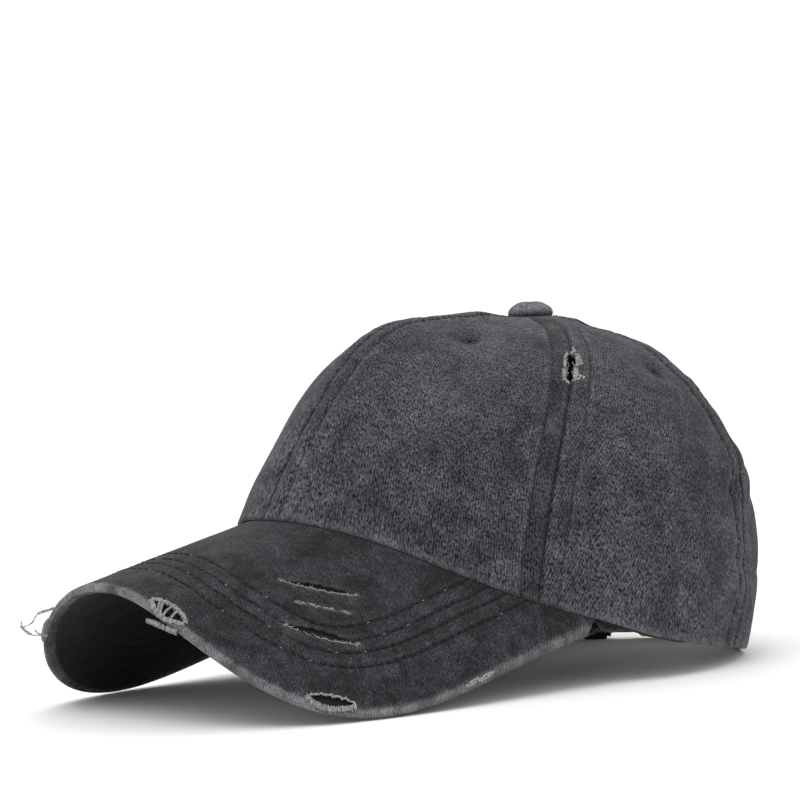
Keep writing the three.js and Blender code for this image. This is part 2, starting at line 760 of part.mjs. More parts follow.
// Strap and its short tab
const strapCurve = new THREE.SplineCurve(
  STRAP_PATH.map((row) => new THREE.Vector2(row.side, row.depth)),
);
const strapFace = (half) => (along, up) => {
  const place = strapCurve.getPointAt(along);
  return backPoint(place.x, STRAP_BOTTOM + STRAP_WIDTH * up, half - place.y);
};
addPiece('strap', shell(38, 2, strapFace(-STRAP_THICKNESS / 2), strapFace(STRAP_THICKNESS / 2)), 0x505054);

const tabFace = (half) => (along, up) => backPoint(
  -TAB_INNER_END - (TAB_OUTER_END - TAB_INNER_END) * along,
  STRAP_BOTTOM + STRAP_WIDTH * up,
  half - TAB_DEPTH,
);
addPiece('strap_tab', shell(
  6, 2, tabFace(-STRAP_THICKNESS / 2), tabFace(STRAP_THICKNESS / 2),
), 0x48484c);

// Wire frame of the buckle
function buckleFrame() {
  const path = [];
  const halfAcross = BUCKLE_WIDTH / 2;
  const halfUp = BUCKLE_HEIGHT / 2;
  const middleUp = BUCKLE_BOTTOM + halfUp;
  const corners = [[1, 1, 0], [-1, 1, 90], [-1, -1, 180], [1, -1, 270]];
  for (const [across, up, start] of corners) {
    for (const turn of [0, 30, 60, 90]) {
      const angle = radians(start + turn);
      path.push(new THREE.Vector2(
        across * (halfAcross - BUCKLE_CORNER) + BUCKLE_CORNER * Math.cos(angle),
        up * (halfUp - BUCKLE_CORNER) + BUCKLE_CORNER * Math.sin(angle),
      ));
    }
  }
  const sides = 8;
  const rings = path.map((point, k) => {
    const before = path[(k + path.length - 1) % path.length];
    const after = path[(k + 1) % path.length];
    const along = after.clone().sub(before).normalize();
    return Array.from({ length: sides }, (_, side) => {
      const angle = 2 * Math.PI * side / sides;
      const away = BUCKLE_WIRE / 2 * Math.cos(angle);
      return backPoint(
        -BUCKLE_SIDE + point.x + along.y * away,
        middleUp + point.y - along.x * away,
        BUCKLE_WIRE / 2 * Math.sin(angle),
      );
    });
  });
  return ringBody(rings, true, []);
}
addPiece('buckle_frame', buckleFrame(), 0xc9a24f);

// Toothed clamp lever beside the frame
function buckleLever() {
  const start = -BUCKLE_SIDE - BUCKLE_WIDTH / 2 - BUCKLE_WIRE / 2 - GAP;
  const low = BUCKLE_BOTTOM + (BUCKLE_HEIGHT - LEVER_HEIGHT) / 2;
  const face = (out) => (across, up, column, row) => {
    const tooth = column === 3 && row % 2 === 1 ? LEVER_TOOTH : 0;
    const side = start - LEVER_WIDTH * (1 - across) + tooth;
    return backPoint(side, low + LEVER_HEIGHT * up, out);
  };
  return shell(3, 2 * LEVER_TEETH, face(LEVER_STAND_OFF), face(LEVER_STAND_OFF + LEVER_THICKNESS));
}
addPiece('buckle_lever', buckleLever(), 0xb8923f);

// Cloth-covered button with its shank through the panels' tips
const BUTTON_PROFILE = [
  { out: 0, up: 1 },
  { out: 0.45, up: 0.97 },
  { out: 0.78, up: 0.86 },
  { out: 0.95, up: 0.66 },
  { out: 1, up: 0.42 },
  { out: 0.96, up: 0.16 },
  { out: 0.86, up: 0 },
];
const buttonPoints = BUTTON_PROFILE.map((row) => new THREE.Vector2(
  row.out * BUTTON_DIAMETER / 2,
  row.up * BUTTON_HEIGHT,
));
buttonPoints.push(new THREE.Vector2(BUTTON_SHANK_DIAMETER / 2, 0));
buttonPoints.push(new THREE.Vector2(BUTTON_SHANK_DIAMETER / 2, -BUTTON_SHANK_LENGTH));
buttonPoints.push(new THREE.Vector2(0, -BUTTON_SHANK_LENGTH));
const button = new THREE.LatheGeometry(buttonPoints.reverse(), 28);
button.rotateX(Math.PI / 2);
button.translate(0, CROWN_CREST_BACK * CROWN_TOP_SHARE ** 2, CROWN_HEIGHT + 2 * GAP);
addPiece('top_button', button, 0x5a5a5e);

// Origin under the middle of the whole cap, on the surface it rests on
const box = new THREE.Box3().setFromObject(group);
const middle = box.getCenter(new THREE.Vector3());
for (const mesh of group.children) {
  mesh.geometry.translate(-middle.x, -middle.y, -box.min.z);
}

export default group;
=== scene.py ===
import math

import bpy
import numpy as np
from bpy.props import FloatProperty, FloatVectorProperty, IntProperty, PointerProperty
from mathutils import Matrix, Vector
from mathutils.geometry import delaunay_2d_cdt


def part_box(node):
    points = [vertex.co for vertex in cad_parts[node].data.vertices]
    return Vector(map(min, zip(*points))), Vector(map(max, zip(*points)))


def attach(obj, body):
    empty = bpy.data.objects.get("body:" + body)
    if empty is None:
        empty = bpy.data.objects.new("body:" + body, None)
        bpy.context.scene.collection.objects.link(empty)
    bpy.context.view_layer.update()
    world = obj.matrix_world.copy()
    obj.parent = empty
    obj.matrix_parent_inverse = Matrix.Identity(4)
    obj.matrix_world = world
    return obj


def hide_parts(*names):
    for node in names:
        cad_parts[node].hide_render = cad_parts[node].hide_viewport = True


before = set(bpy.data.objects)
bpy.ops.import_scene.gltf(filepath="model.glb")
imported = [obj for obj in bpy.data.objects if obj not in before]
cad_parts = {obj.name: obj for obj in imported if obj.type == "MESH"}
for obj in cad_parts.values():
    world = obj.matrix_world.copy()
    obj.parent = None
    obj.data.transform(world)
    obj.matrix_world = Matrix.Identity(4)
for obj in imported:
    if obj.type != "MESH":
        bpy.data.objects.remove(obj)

bl_info = {
    "name": "Ponytail baseball cap",
    "version": (1, 0, 0),
    "blender": (4, 5, 0),
    "location": "View3D > Sidebar > Cap",
    "description": "Washed twill cap with a ponytail opening, dressed over its solid parts",
    "category": "Object",
}

# Sizes are millimetres until a piece is placed. The brim points to -Y, the wearer's left is +X, and
# azimuths run in degrees from the brim's centre (0) round to the back (180).
MM = 0.001

# Crown
CROWN_LENGTH = 197
CROWN_WIDTH = 175
CROWN_HEIGHT = 124.5
CREST_BACK = 25
WALL = 1.2
TOP_SHARE = 0.98
FRONT_SEAM = (59, 22)
REAR_SEAM = (118, 8)

# Brim
BRIM_WIDTH = 160
BRIM_LENGTH = 66.8
BRIM_SIDE_LENGTH = 33
JUNCTION_HEIGHT = 59.0
BRIM_DROP = 58.7
SQUARENESS = 2.93
CENTRE_SLOPE = 0.227
SIDE_SLOPE = 0.266
BRIM_END_AZIMUTH = 73
BRIM_CLOTH = 0.8
BRIM_TOTAL = 3.2
BRIM_UNDER_CROWN = 0.9
BRIM_END_ANGLE = 100
BRIM_LAST_ANGLE = 98.7
BRIM_EDGE_LIP = 2.5

# Back openings, strap and buckle
BINDING_WIDTH = 8
BINDING_LIP = 0.9
TEARDROP_BOTTOM = 42
TEARDROP_LENGTH = 86
TEARDROP_WIDTH = 37
ARCH_WIDTH = 71
ARCH_HEIGHT = 34.4
ARCH_ROUNDNESS = 1.85
ARCH_FOOT = 0.8
STRAP_WIDTH = 18.6
STRAP_BOTTOM = 2
STRAP_THICKNESS = 1.4
TAB_ENDS = (26.5, 46)
TAB_DEPTH = 2.6
BUCKLE_SIDE = 15.2
BUCKLE_WIDTH = 16.6
BUCKLE_HEIGHT = 21.4
BUCKLE_BOTTOM = 1.2
BUCKLE_CORNER = 2
LEVER_WIDTH = 3.8
LEVER_HEIGHT = 18
LEVER_STAND_OFF = 1.9
LEVER_TOOTH = 0.6

# Inside and on top
SWEATBAND_HEIGHT = 25
SWEATBAND_THICKNESS = 1
SWEATBAND_END = 150
SWEATBAND_BELOW = 0.8
SWEATBAND_GAP = 0.7
SWEATBAND_DROP = 3.4
SWEATBAND_SHOWN = 0.5
SWEATBAND_STITCH = 3.2
BUTTON_DIAMETER = 16.4
BUTTON_HEIGHT = 5.2
BUTTON_SHANK = 4
BUTTON_SHANK_RADIUS = 1.8
BUTTON_SINK = 0.35
BUTTON_DROOP = 1.0
BUTTON_BACK = 0.7
GAP = 0.3

# Crown meridians every 30 degrees
MERIDIAN_STEP = 30
MERIDIANS = {
    "reach": (1.025, 0.937, 0.931, 1.0, 0.975, 0.94, 0.975),
    "lean": (31.5, 19.5, -2.6, -10, -17, -13.5, -7.3),
    "rise": (0.78, 0.63, 0.60, 0.615, 0.65, 0.645, 0.625),
    "crest": (0.45, 0.61, 0.795, 0.725, 0.655, 0.61, 0.58),
}

# Rim behind the brim: azimuth and height as a share of the crown's height
RIM_LIFTS = ((86, 0.122), (100, 0.082), (115, 0.052), (130, 0.028), (144, 0.009), (154, 0), (180, 0))

# Arch of the brim: fall as a share of its drop, at even steps from the centre to the side
BRIM_ARCH = (0, 0.058, 0.25, 0.568, 1, 1.52)
BRIM_ARCH_STEP = 0.25

# Soft dents: azimuth, share of the way up, degrees across, share up and down, depth (out when negative)
DENTS = (
    (40, 0.09, 16, 0.02, 1.0),
    (92, 0.14, 14, 0.03, 1.2),
    (121, 0.17, 6, 0.05, 1.8),
    (122, 0.33, 5, 0.06, -1.2),
    (150, 0.62, 7, 0.05, 1.8),
    (146, 0.74, 8, 0.04, -0.9),
    (130, 0.79, 26, 0.09, 1.8),
    (0, 0.84, 50, 0.065, -1.3),
    (-15, 0.04, 16, 0.08, -1.1),
    (-30, 0.42, 24, 0.09, 1.0),
    (-100, 0.12, 14, 0.03, 1.2),
    (-118, 0.40, 6, 0.07, 1.8),
    (-136, 0.70, 8, 0.05, 2.0),
    (-146, 0.58, 5, 0.06, -1.6),
)

# Creases: azimuth and share of both ends, half width and depth in millimetres (out when negative)
CREASES = (
    (44, 0.10, 57, 0.155, 1.6, 0.5),
    (41, 0.13, 56, 0.19, 1.4, -0.35),
    (66, 0.16, 88, 0.20, 2.2, 0.45),
    (64, 0.115, 84, 0.13, 1.8, -0.4),
    (111, 0.235, 120, 0.30, 1.8, 1.2),
    (110, 0.27, 119, 0.335, 1.6, -1.0),
    (112, 0.16, 121, 0.12, 2.2, 1.0),
    (124, 0.20, 136, 0.27, 2.4, 1.1),
    (124, 0.25, 134, 0.33, 2.0, -0.9),
    (126, 0.50, 152, 0.44, 2.6, 0.9),
    (128, 0.56, 150, 0.52, 2.2, -0.7),
    (132, 0.80, 150, 0.665, 2.0, 1.1),
    (138, 0.84, 158, 0.735, 1.8, -0.9),
    (146, 0.88, 164, 0.80, 1.5, 1.0),
    (128, 0.10, 146, 0.16, 2.8, 0.8),
    (-132, 0.82, -151, 0.70, 1.8, 1.2),
    (-127, 0.76, -148, 0.63, 2.0, -1.0),
    (-140, 0.88, -160, 0.79, 1.5, 1.0),
    (-124, 0.62, -144, 0.50, 2.4, 1.0),
    (-125, 0.35, -141, 0.27, 2.4, 0.9),
    (-112, 0.30, -119, 0.22, 1.8, 1.0),
    (-124, 0.13, -140, 0.09, 2.4, 0.8),
    (-66, 0.13, -84, 0.17, 2.2, 0.5),
    (-44, 0.10, -56, 0.15, 1.8, 0.45),
)

# Teardrop opening: half width as a share of half the width, at shares of its length
TEARDROP_SIDE = (
    (0, 0), (0.12, 0.42), (0.3, 0.77), (0.45, 0.95), (0.6, 1), (0.74, 0.93), (0.87, 0.72), (0.96, 0.42),
)

# Strap: distance to the side and depth of its middle behind the crown's outer face
STRAP_PATH = (
    (45, 2.4), (26, 2.35), (18, 1.3), (6, 0.9), (-2.5, 1.5), (-6.9, 2.2), (-11, 0.4), (-15, -0.5),
    (-19.5, 0.3), (-23.5, 2.7), (-27, 4.5), (-33, 4.7), (-45, 4.7),
)

# Eyelets: azimuth and share of the way up; a mirrored one sits on the other side
EYELETS = ((36.3, 0.62), (104.8, 0.577))
EYELET_RADIUS = 1.7
EYELET_STITCHES = 40

# Worn hole on the left front seam: distance across the seam and along it, from its centre
SEAM_HOLE_SHARE = 0.547
SEAM_HOLE = (
    (-1.7, -6.6), (-0.6, -7.6), (0.6, -6.4), (1.2, -3.4), (0.9, -0.2), (1.6, 3.0), (1.2, 6.0), (-0.2, 7.4),
    (-1.6, 6.2), (-2.2, 2.6), (-2.0, -1.4), (-2.4, -4.4),
)

# Slashes through the brim's top cloth: ends in plan, width of the open middle
SLASHES = (
    (36.9, -122.1, 50.1, -102.7, 2.3),
    (49.4, -131.0, 61.6, -112.2, 2.2),
)
WORN_LINE = (44.6, -123.3, 53.9, -108.2)

# Openings along the brim's edge: start and end angle, distances in from the edge of the inner and outer lip
EDGE_HOLES = (
    (10.2, 19.4, 4.8, 0.3),
    (51.2, 62.6, 5.6, 1.0),
    (85.2, 86.5, 7.6, 3.2),
    (87.0, 88.6, 7.6, 3.0),
    (-29.0, -21.0, 3.0, 0.9),
)

# Points along a lip of a slash and along a lip of an edge opening
SLASH_STEPS = 26
EDGE_HOLE_STEPS = 22

# Rows of topstitching on the brim: distance along the cloth from its edge
BRIM_ROWS = (17.2, 22.6, 27.4, 33.0)

CROWN_HALF_LENGTH = CROWN_LENGTH / 2
CROWN_HALF_WIDTH = CROWN_WIDTH / 2
BRIM_HALF_WIDTH = BRIM_WIDTH / 2
FRONT_REACH = MERIDIANS["reach"][0] * CROWN_HALF_LENGTH

BUTTON_LOW, BUTTON_HIGH = (np.array(corner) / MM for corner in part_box("top_button"))
SHIFT = np.array([
    (BUTTON_LOW[0] + BUTTON_HIGH[0]) / 2,
    (BUTTON_LOW[1] + BUTTON_HIGH[1]) / 2 - CREST_BACK * TOP_SHARE ** 2,
    BUTTON_LOW[2] - (CROWN_HEIGHT + 2 * GAP - BUTTON_SHANK),
])


def smooth_value(values, position):
    """Smooth curve through evenly spaced values, mirrored about the first one."""
    values = np.asarray(values, float)
    last = len(values) - 2
    cell = np.clip(np.floor(position).astype(int), 0, last)
    share = position - cell
    before = values[np.abs(cell - 1)]
    start = values[cell]
    end = values[cell + 1]
    after = np.where(cell < last, values[np.minimum(cell + 2, last + 1)], start)
    linear = (end - before) * share
    square = (2 * before - 5 * start + 4 * end - after) * share ** 2
    cube = (3 * start - before - 3 * end + after) * share ** 3
    return start + 0.5 * (linear + square + cube)


def turned(azimuth):
    """Azimuth without its side, from 0 to 180."""
    return np.abs((np.asarray(azimuth, float) + 540) % 360 - 180)


def meridian(column, azimuth):
    return smooth_value(MERIDIANS[column], turned(azimuth) / MERIDIAN_STEP)


def rim_reach(azimuth):
    across = np.sin(np.radians(azimuth)) / CROWN_HALF_WIDTH
    along = np.cos(np.radians(azimuth)) / CROWN_HALF_LENGTH
    return meridian("reach", azimuth) / np.hypot(across, along)


def brim_height(x, y):
    """Height of the brim's middle surface."""
    share = np.abs(x) / BRIM_HALF_WIDTH
    fall = BRIM_DROP * smooth_value(BRIM_ARCH, share / BRIM_ARCH_STEP)
    slope = CENTRE_SLOPE + (SIDE_SLOPE - CENTRE_SLOPE) * share ** 2
    return JUNCTION_HEIGHT - fall + slope * (y + FRONT_REACH)


def brim_slopes(x, y):
    step = 0.5
    along_x = (brim_height(x + step, y) - brim_height(x - step, y)) / (2 * step)
    along_y = (brim_height(x, y + step) - brim_height(x, y - step)) / (2 * step)
    return along_x, along_y, np.sqrt(1 + along_x ** 2 + along_y ** 2)


def seat_height(x, y):
    return brim_height(x, y) + (BRIM_TOTAL / 2 + GAP) * brim_slopes(x, y)[2]


def rim_height(azimuth, x, y):
    """Height of the crown's lower edge at a plan position."""
    turn = turned(azimuth)
    end_reach = rim_reach(BRIM_END_AZIMUTH)
    end_angle = math.radians(BRIM_END_AZIMUTH)
    end_x = end_reach * math.sin(end_angle)
    end_y = -end_reach * math.cos(end_angle)
    turns = [BRIM_END_AZIMUTH] + [row[0] for row in RIM_LIFTS]
    heights = [float(seat_height(end_x, end_y))] + [row[1] * CROWN_HEIGHT for row in RIM_LIFTS]
    return np.where(turn <= BRIM_END_AZIMUTH, seat_height(x, y), np.interp(turn, turns, heights))


def stack(*parts):
    return np.stack(np.broadcast_arrays(*parts), axis=-1)


def unit(vectors):
    return vectors / np.maximum(np.linalg.norm(vectors, axis=-1, keepdims=True), 1e-9)


def path_lengths(path):
    """Length along a path up to each of its points."""
    return np.concatenate([[0], np.cumsum(np.linalg.norm(np.diff(path, axis=0), axis=1))])


def smooth_crown(azimuth, share):
    """Outer face of the crown before denting; share runs from 0 at the rim to 1 at the top."""
    azimuth, share = np.broadcast_arrays(np.asarray(azimuth, float), np.asarray(share, float))
    angle = np.radians(azimuth)
    reach = rim_reach(azimuth)
    lean = np.radians(meridian("lean", azimuth))
    rise = meridian("rise", azimuth) * CROWN_HEIGHT
    crest = meridian("crest", azimuth) * reach
    foot = rim_height(azimuth, reach * np.sin(angle), -reach * np.cos(angle))
    left = 1 - share
    foot_part = left ** 3
    rise_part = 3 * left ** 2 * share
    crest_part = 3 * left * share ** 2
    radius = foot_part * reach + rise_part * (reach - rise * np.sin(lean)) + crest_part * crest
    height = foot_part * foot + rise_part * (foot + rise * np.cos(lean))
    height = height + (crest_part + share ** 3) * CROWN_HEIGHT
    return stack(radius * np.sin(angle), -radius * np.cos(angle) + CREST_BACK * share ** 2, height)


def crown_normal(azimuth, share):
    across = smooth_crown(azimuth + 0.5, share) - smooth_crown(azimuth - 0.5, share)
    up = smooth_crown(azimuth, share + 0.005) - smooth_crown(azimuth, share - 0.005)
    return unit(np.cross(across, up))


def degree_length(azimuth, share):
    """Millimetres along the cloth for one degree of azimuth."""
    step = 0.5
    move = smooth_crown(azimuth + step, share) - smooth_crown(azimuth, share)
    return np.linalg.norm(move, axis=-1) / step


def dent_depth(azimuth, share):
    depth = 0
    for centre, centre_share, across_degrees, up_share, amount in DENTS:
        across = turned(azimuth - centre) / across_degrees
        up = (share - centre_share) / up_share
        depth = depth + amount * np.exp(-across ** 2 - up ** 2)
    return depth


def crease_depth(azimuth, share):
    """Narrow folds, each a soft trough or ridge along a line over the crown."""
    point = smooth_crown(azimuth, share)
    depth = np.zeros(point.shape[:-1])
    for azimuth_a, share_a, azimuth_b, share_b, width, amount in CREASES:
        steps = np.linspace(0, 1, 7)
        path = smooth_crown(
            azimuth_a + (azimuth_b - azimuth_a) * steps,
            share_a + (share_b - share_a) * (steps + 0.12 * np.sin(np.pi * steps)),
        )
        distance, place = distance_to_path(point, path)
        fade = np.clip(np.sin(np.pi * (0.04 + 0.92 * place)), 0, 1) ** 0.8
        depth += amount * fade * np.exp(-(distance / width) ** 2)
    return depth


def crown_point(azimuth, share, outward=0.0):
    offset = np.asarray(outward) - dent_depth(azimuth, share)
    return smooth_crown(azimuth, share) + crown_normal(azimuth, share) * offset[..., None]


def rim_point(azimuth, inward):
    """Point of the wall's lower edge, square to the crown in plan."""
    azimuth = np.asarray(azimuth, float)
    normal = crown_normal(azimuth, np.zeros_like(azimuth))
    normal[..., 2] = 0
    point = smooth_crown(azimuth, np.zeros_like(azimuth)) - unit(normal) * np.asarray(inward)[..., None]
    point[..., 2] = rim_height(azimuth, point[..., 0], point[..., 1])
    return point


def distance_to_path(points, path):
    """Distance from each point to a chain of points, and how far along the chain it is nearest."""
    best = np.full(points.shape[:-1], np.inf)
    where = np.zeros(points.shape[:-1])
    spans = len(path) - 1
    for span in range(spans):
        along = path[span + 1] - path[span]
        share = np.clip((points - path[span]) @ along / max(along @ along, 1e-9), 0, 1)
        distance = np.linalg.norm(points - path[span] - share[..., None] * along, axis=-1)
        nearer = distance < best
        best = np.where(nearer, distance, best)
        where = np.where(nearer, (span + share) / spans, where)
    return best, where


def lattice_value(cells, seed):
    """Repeatable value from 0 to 1 for each whole-numbered cell."""
    mixed = cells @ np.array([127.1, 311.7, 74.7]) + 17.31 * seed
    return np.abs(np.sin(mixed) * 43758.5453) % 1


def soft_noise(points, size, seed):
    """Smooth uneven values between -1 and 1, with features about that size in millimetres."""
    points = np.asarray(points, float)
    if points.shape[-1] == 2:
        points = np.concatenate([points, np.zeros(points.shape[:-1] + (1,))], axis=-1)
    spot = points / size
    cell = np.floor(spot)
    share = spot - cell
    share = share * share * (3 - 2 * share)
    total = 0
    for corner in np.ndindex(2, 2, 2):
        offset = np.array(corner)
        weight = np.prod(np.where(offset == 1, share, 1 - share), axis=-1)
        total = total + weight * lattice_value(cell + offset, seed)
    return 2 * total - 1


def bump_at(distance, width):
    return np.exp(-(distance / width) ** 2)


def eased(value, start, end):
    """From 0 at start to 1 at end, levelling off at both."""
    share = np.clip((value - start) / (end - start), 0, 1)
    return share * share * (3 - 2 * share)


# Cloth sheets and closed pieces


def plain_sheet(columns, rows):
    """Grid of quads over the unit square: points and faces."""
    across, up = np.meshgrid(columns, rows)
    spots = np.stack([across.ravel(), up.ravel()], axis=-1)
    width = len(columns)
    corner = (np.arange(len(rows) - 1)[:, None] * width + np.arange(width - 1)).ravel()
    faces = np.stack([corner, corner + 1, corner + width + 1, corner + width], axis=-1)
    return spots, faces.tolist()


def inside(spots, outline):
    """Which plan points lie inside a closed outline."""
    within = np.zeros(len(spots), bool)
    x, y = spots[:, 0], spots[:, 1]
    for (ax, ay), (bx, by) in zip(outline, np.roll(outline, -1, axis=0)):
        crosses = (ay > y) != (by > y)
        at = (bx - ax) * (y - ay) / np.where(by == ay, 1e-12, by - ay) + ax
        within ^= crosses & (x < at)
    return within


def cut_sheet(columns, rows, outlines, scale):
    """Grid over the unit square with closed outlines cut out of it; scale makes its cells nearly square."""
    scale = np.array(scale, float)
    across, up = np.meshgrid(columns, rows)
    spots = np.stack([across.ravel(), up.ravel()], axis=-1) * scale
    cell = min(np.diff(rows).min() * scale[1], np.median(np.diff(columns)) * scale[0])
    keep = np.ones(len(spots), bool)
    cuts = [np.asarray(outline) * scale for outline in outlines]
    for cut in cuts:
        loop = np.vstack([cut, cut[:1]])
        near, _ = distance_to_path(spots, loop)
        keep &= ~inside(spots, cut) & (near > 0.45 * cell)
    corners = np.zeros(len(spots), bool)
    corners[[0, len(columns) - 1, -len(columns), -1]] = True
    keep |= corners
    number = np.full(len(spots), -1)
    number[keep] = np.arange(keep.sum())
    numbers = number.reshape(len(rows), len(columns))
    sides = (numbers[0], numbers[:, -1], numbers[-1], numbers[:, 0])
    edges = []
    for side in sides:
        kept = side[side >= 0]
        edges += list(zip(kept[:-1].tolist(), kept[1:].tolist()))
    points = spots[keep]
    for cut in cuts:
        first = len(points)
        count = len(cut)
        points = np.vstack([points, cut])
        edges += [(first + k, first + (k + 1) % count) for k in range(count)]
    result = delaunay_2d_cdt([Vector(point) for point in points], edges, [], 0, 1e-6)
    made = np.array([tuple(point) for point in result[0]])
    faces = np.array([face for face in result[2] if len(face) == 3])
    middle = made[faces].mean(axis=1)
    fine = (middle[:, 0] > 0) & (middle[:, 1] > 0) & (middle[:, 0] < scale[0]) & (middle[:, 1] < scale[1])
    for cut in cuts:
        fine &= ~inside(middle, cut)
    faces = faces[fine]
    a, b, c = (made[faces[:, k]] for k in range(3))
    turn = (b[:, 0] - a[:, 0]) * (c[:, 1] - a[:, 1]) - (b[:, 1] - a[:, 1]) * (c[:, 0] - a[:, 0])
    faces = faces[np.abs(turn) > 1e-7]
    turn = turn[np.abs(turn) > 1e-7]
    faces[turn < 0] = faces[turn < 0][:, ::-1]
    used, renumbered = np.unique(faces, return_inverse=True)
    return made[used] / scale, renumbered.reshape(faces.shape).tolist()


def shell_faces(count, faces):
    """Faces of a closed piece: a sheet's outer face, its inner face and the walls between them."""
    directed = set()
    for face in faces:
        for k, corner in enumerate(face):
            directed.add((corner, face[(k + 1) % len(face)]))
    walls = [
        (b, a, a + count, b + count) for a, b in sorted(directed) if (b, a) not in directed
    ]
    inner = [tuple(corner + count for corner in reversed(face)) for face in faces]
    return [tuple(face) for face in faces] + inner + walls


def add_piece(name, points, faces, material, slot, replaces=(), **fields):
    """Puts a mesh piece in place, with named values for its material, and lets it ride on the cap."""
    mesh = bpy.data.meshes.new(name)
    placed = (np.asarray(points, float).reshape(-1, 3) + SHIFT) * MM
    mesh.from_pydata(placed.tolist(), [], faces)
    for field, values in fields.items():
        values = np.asarray(values, np.float32)
        kind = "FLOAT_VECTOR" if values.ndim == 2 else "FLOAT"
        layer = mesh.attributes.new(field, kind, "POINT")
        layer.data.foreach_set("vector" if values.ndim == 2 else "value", values.ravel())
    mesh.polygons.foreach_set("use_smooth", [True] * len(mesh.polygons))
    mesh.materials.append(material)
    mesh.validate()
    piece = bpy.data.objects.new(name, mesh)
    bpy.context.scene.collection.objects.link(piece)
    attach(piece, "root")
    if replaces:
        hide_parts(*replaces)
    return piece


def cloth_piece(name, outer, inner, faces, cloth, wear, material, slot, replaces=(), shade=None):
    """A closed cloth piece; cloth is the place on the flat cloth, wear and shade run from 0 to 1."""
    count = len(outer)
    spread = np.concatenate([cloth, np.zeros((count, 1))], axis=1)
    shade = np.zeros(count) if shade is None else shade
    # The inner face gets a fifth of the wear and a fixed 0.6 of painted shade, as the inside of the cap
    # lies in shade.
    return add_piece(
        name,
        np.vstack([outer, inner]),
        shell_faces(count, faces),
        material,
        slot,
        replaces,
        cloth=np.vstack([spread, spread]),
        wear=np.concatenate([wear, 0.2 * wear]),
        shade=np.concatenate([shade, np.full(count, 0.6)]),
    )


def tube_parts(path, radii, sides=6):
    """Points and faces of a closed tube along a path."""
    path = np.asarray(path, float)
    radii = np.broadcast_to(radii, (len(path),))
    along = unit(np.gradient(path, axis=0))
    helper = np.where(np.abs(along[:, 2:3]) > 0.8, [[1.0, 0, 0]], [[0, 0, 1.0]])
    side = unit(np.cross(along, helper))
    other = np.cross(along, side)
    turn = 2 * np.pi * np.arange(sides) / sides
    ring = side[:, None] * np.cos(turn)[None, :, None] + other[:, None] * np.sin(turn)[None, :, None]
    points = (path[:, None] + ring * radii[:, None, None]).reshape(-1, 3)
    faces = []
    for row in range(len(path) - 1):
        for k in range(sides):
            a = row * sides + k
            b = row * sides + (k + 1) % sides
            faces.append((a, b, b + sides, a + sides))
    faces.append(tuple(reversed(range(sides))))
    faces.append(tuple((len(path) - 1) * sides + k for k in range(sides)))
    return points, faces


class Bundle:
    """Many small closed parts gathered into one piece."""

    def __init__(self):
        self.points = []
        self.faces = []
        self.tones = []
        self.count = 0

    def add(self, points, faces, tone=0.5):
        self.points.append(points)
        self.faces += [tuple(corner + self.count for corner in face) for face in faces]
        self.tones.append(np.full(len(points), tone))
        self.count += len(points)

    def strand(self, path, radius, tone=0.5, sides=5):
        path = np.asarray(path, float)
        radii = radius * np.linspace(1, 0.6, len(path))
        self.add(*tube_parts(path, radii, sides), tone)

    def piece(self, name, material, slot):
        return add_piece(
            name, np.vstack(self.points), self.faces, material, slot, tone=np.concatenate(self.tones)
        )


def resampled(path, step):
    """Evenly spaced points along a path, about one step apart."""
    path = np.asarray(path, float)
    lengths = path_lengths(path)
    count = max(int(round(lengths[-1] / step)), 1)
    marks = np.linspace(0, lengths[-1], count + 1)
    return np.stack([np.interp(marks, lengths, path[:, k]) for k in range(path.shape[1])], axis=-1)


def chance(number):
    """Repeatable value from 0 to 1 for a whole number."""
    return abs(math.sin(12.9898 * number + 78.2) * 43758.5) % 1


def sew(bundle, path, normals, sizes, tone=0.5, skip=None, pale=0.0):
    """A row of thread stitches lying in the cloth along a path; a share of them is worn pale."""
    spacing = sizes.stitch_length + sizes.stitch_gap
    joined = resampled(np.hstack([path, normals]), spacing)
    marks = joined[:, :3]
    ups = unit(joined[:, 3:])
    filled = sizes.stitch_length / spacing
    shares = np.array([0, 0.18, 0.5, 0.82, 1])
    lifts = np.array([-0.7, 0.25, 0.5, 0.25, -0.7]) * sizes.thread
    radii = np.array([0.5, 0.95, 1.0, 0.95, 0.5]) * sizes.thread / 2
    for k in range(len(marks) - 1):
        if skip is not None and skip(marks[k]):
            continue
        span = (marks[k + 1] - marks[k]) * filled
        worn = chance(k) < pale
        line = marks[k] + shares[:, None] * span * (0.35 if worn else 1) + lifts[:, None] * ups[k]
        shade = 1.0 if worn else tone + 0.15 * math.sin(12.9 * k + 4.1 * tone)
        bundle.add(*tube_parts(line, radii, 5), shade)


# Shader maths


class Value:
    """A socket that works in plain expressions; each operation adds its node."""

    def __init__(self, tree, socket):
        self.tree = tree
        self.socket = socket

    def join(self, operation, first, second=None):
        node = self.tree.nodes.new("ShaderNodeMath")
        node.operation = operation
        for socket, part in zip(node.inputs, (first, second)):
            fill(self.tree, socket, part)
        return Value(self.tree, node.outputs[0])

    def __add__(self, other):
        return self.join("ADD", self, other)

    def __sub__(self, other):
        return self.join("SUBTRACT", self, other)

    def __rsub__(self, other):
        return self.join("SUBTRACT", other, self)

    def __mul__(self, other):
        return self.join("MULTIPLY", self, other)

    def __truediv__(self, other):
        return self.join("DIVIDE", self, other)

    __radd__ = __add__
    __rmul__ = __mul__

    def sine(self):
        return self.join("SINE", self)

    def raised(self, low):
        """The value, or low where it is less."""
        return self.join("MAXIMUM", self, low)

    def limited(self):
        node = self.tree.nodes.new("ShaderNodeClamp")
        fill(self.tree, node.inputs["Value"], self)
        return Value(self.tree, node.outputs[0])

    def between(self, low, high):
        """0 at low, 1 at high, and no further."""
        return ((self - low) / (high - low)).limited()


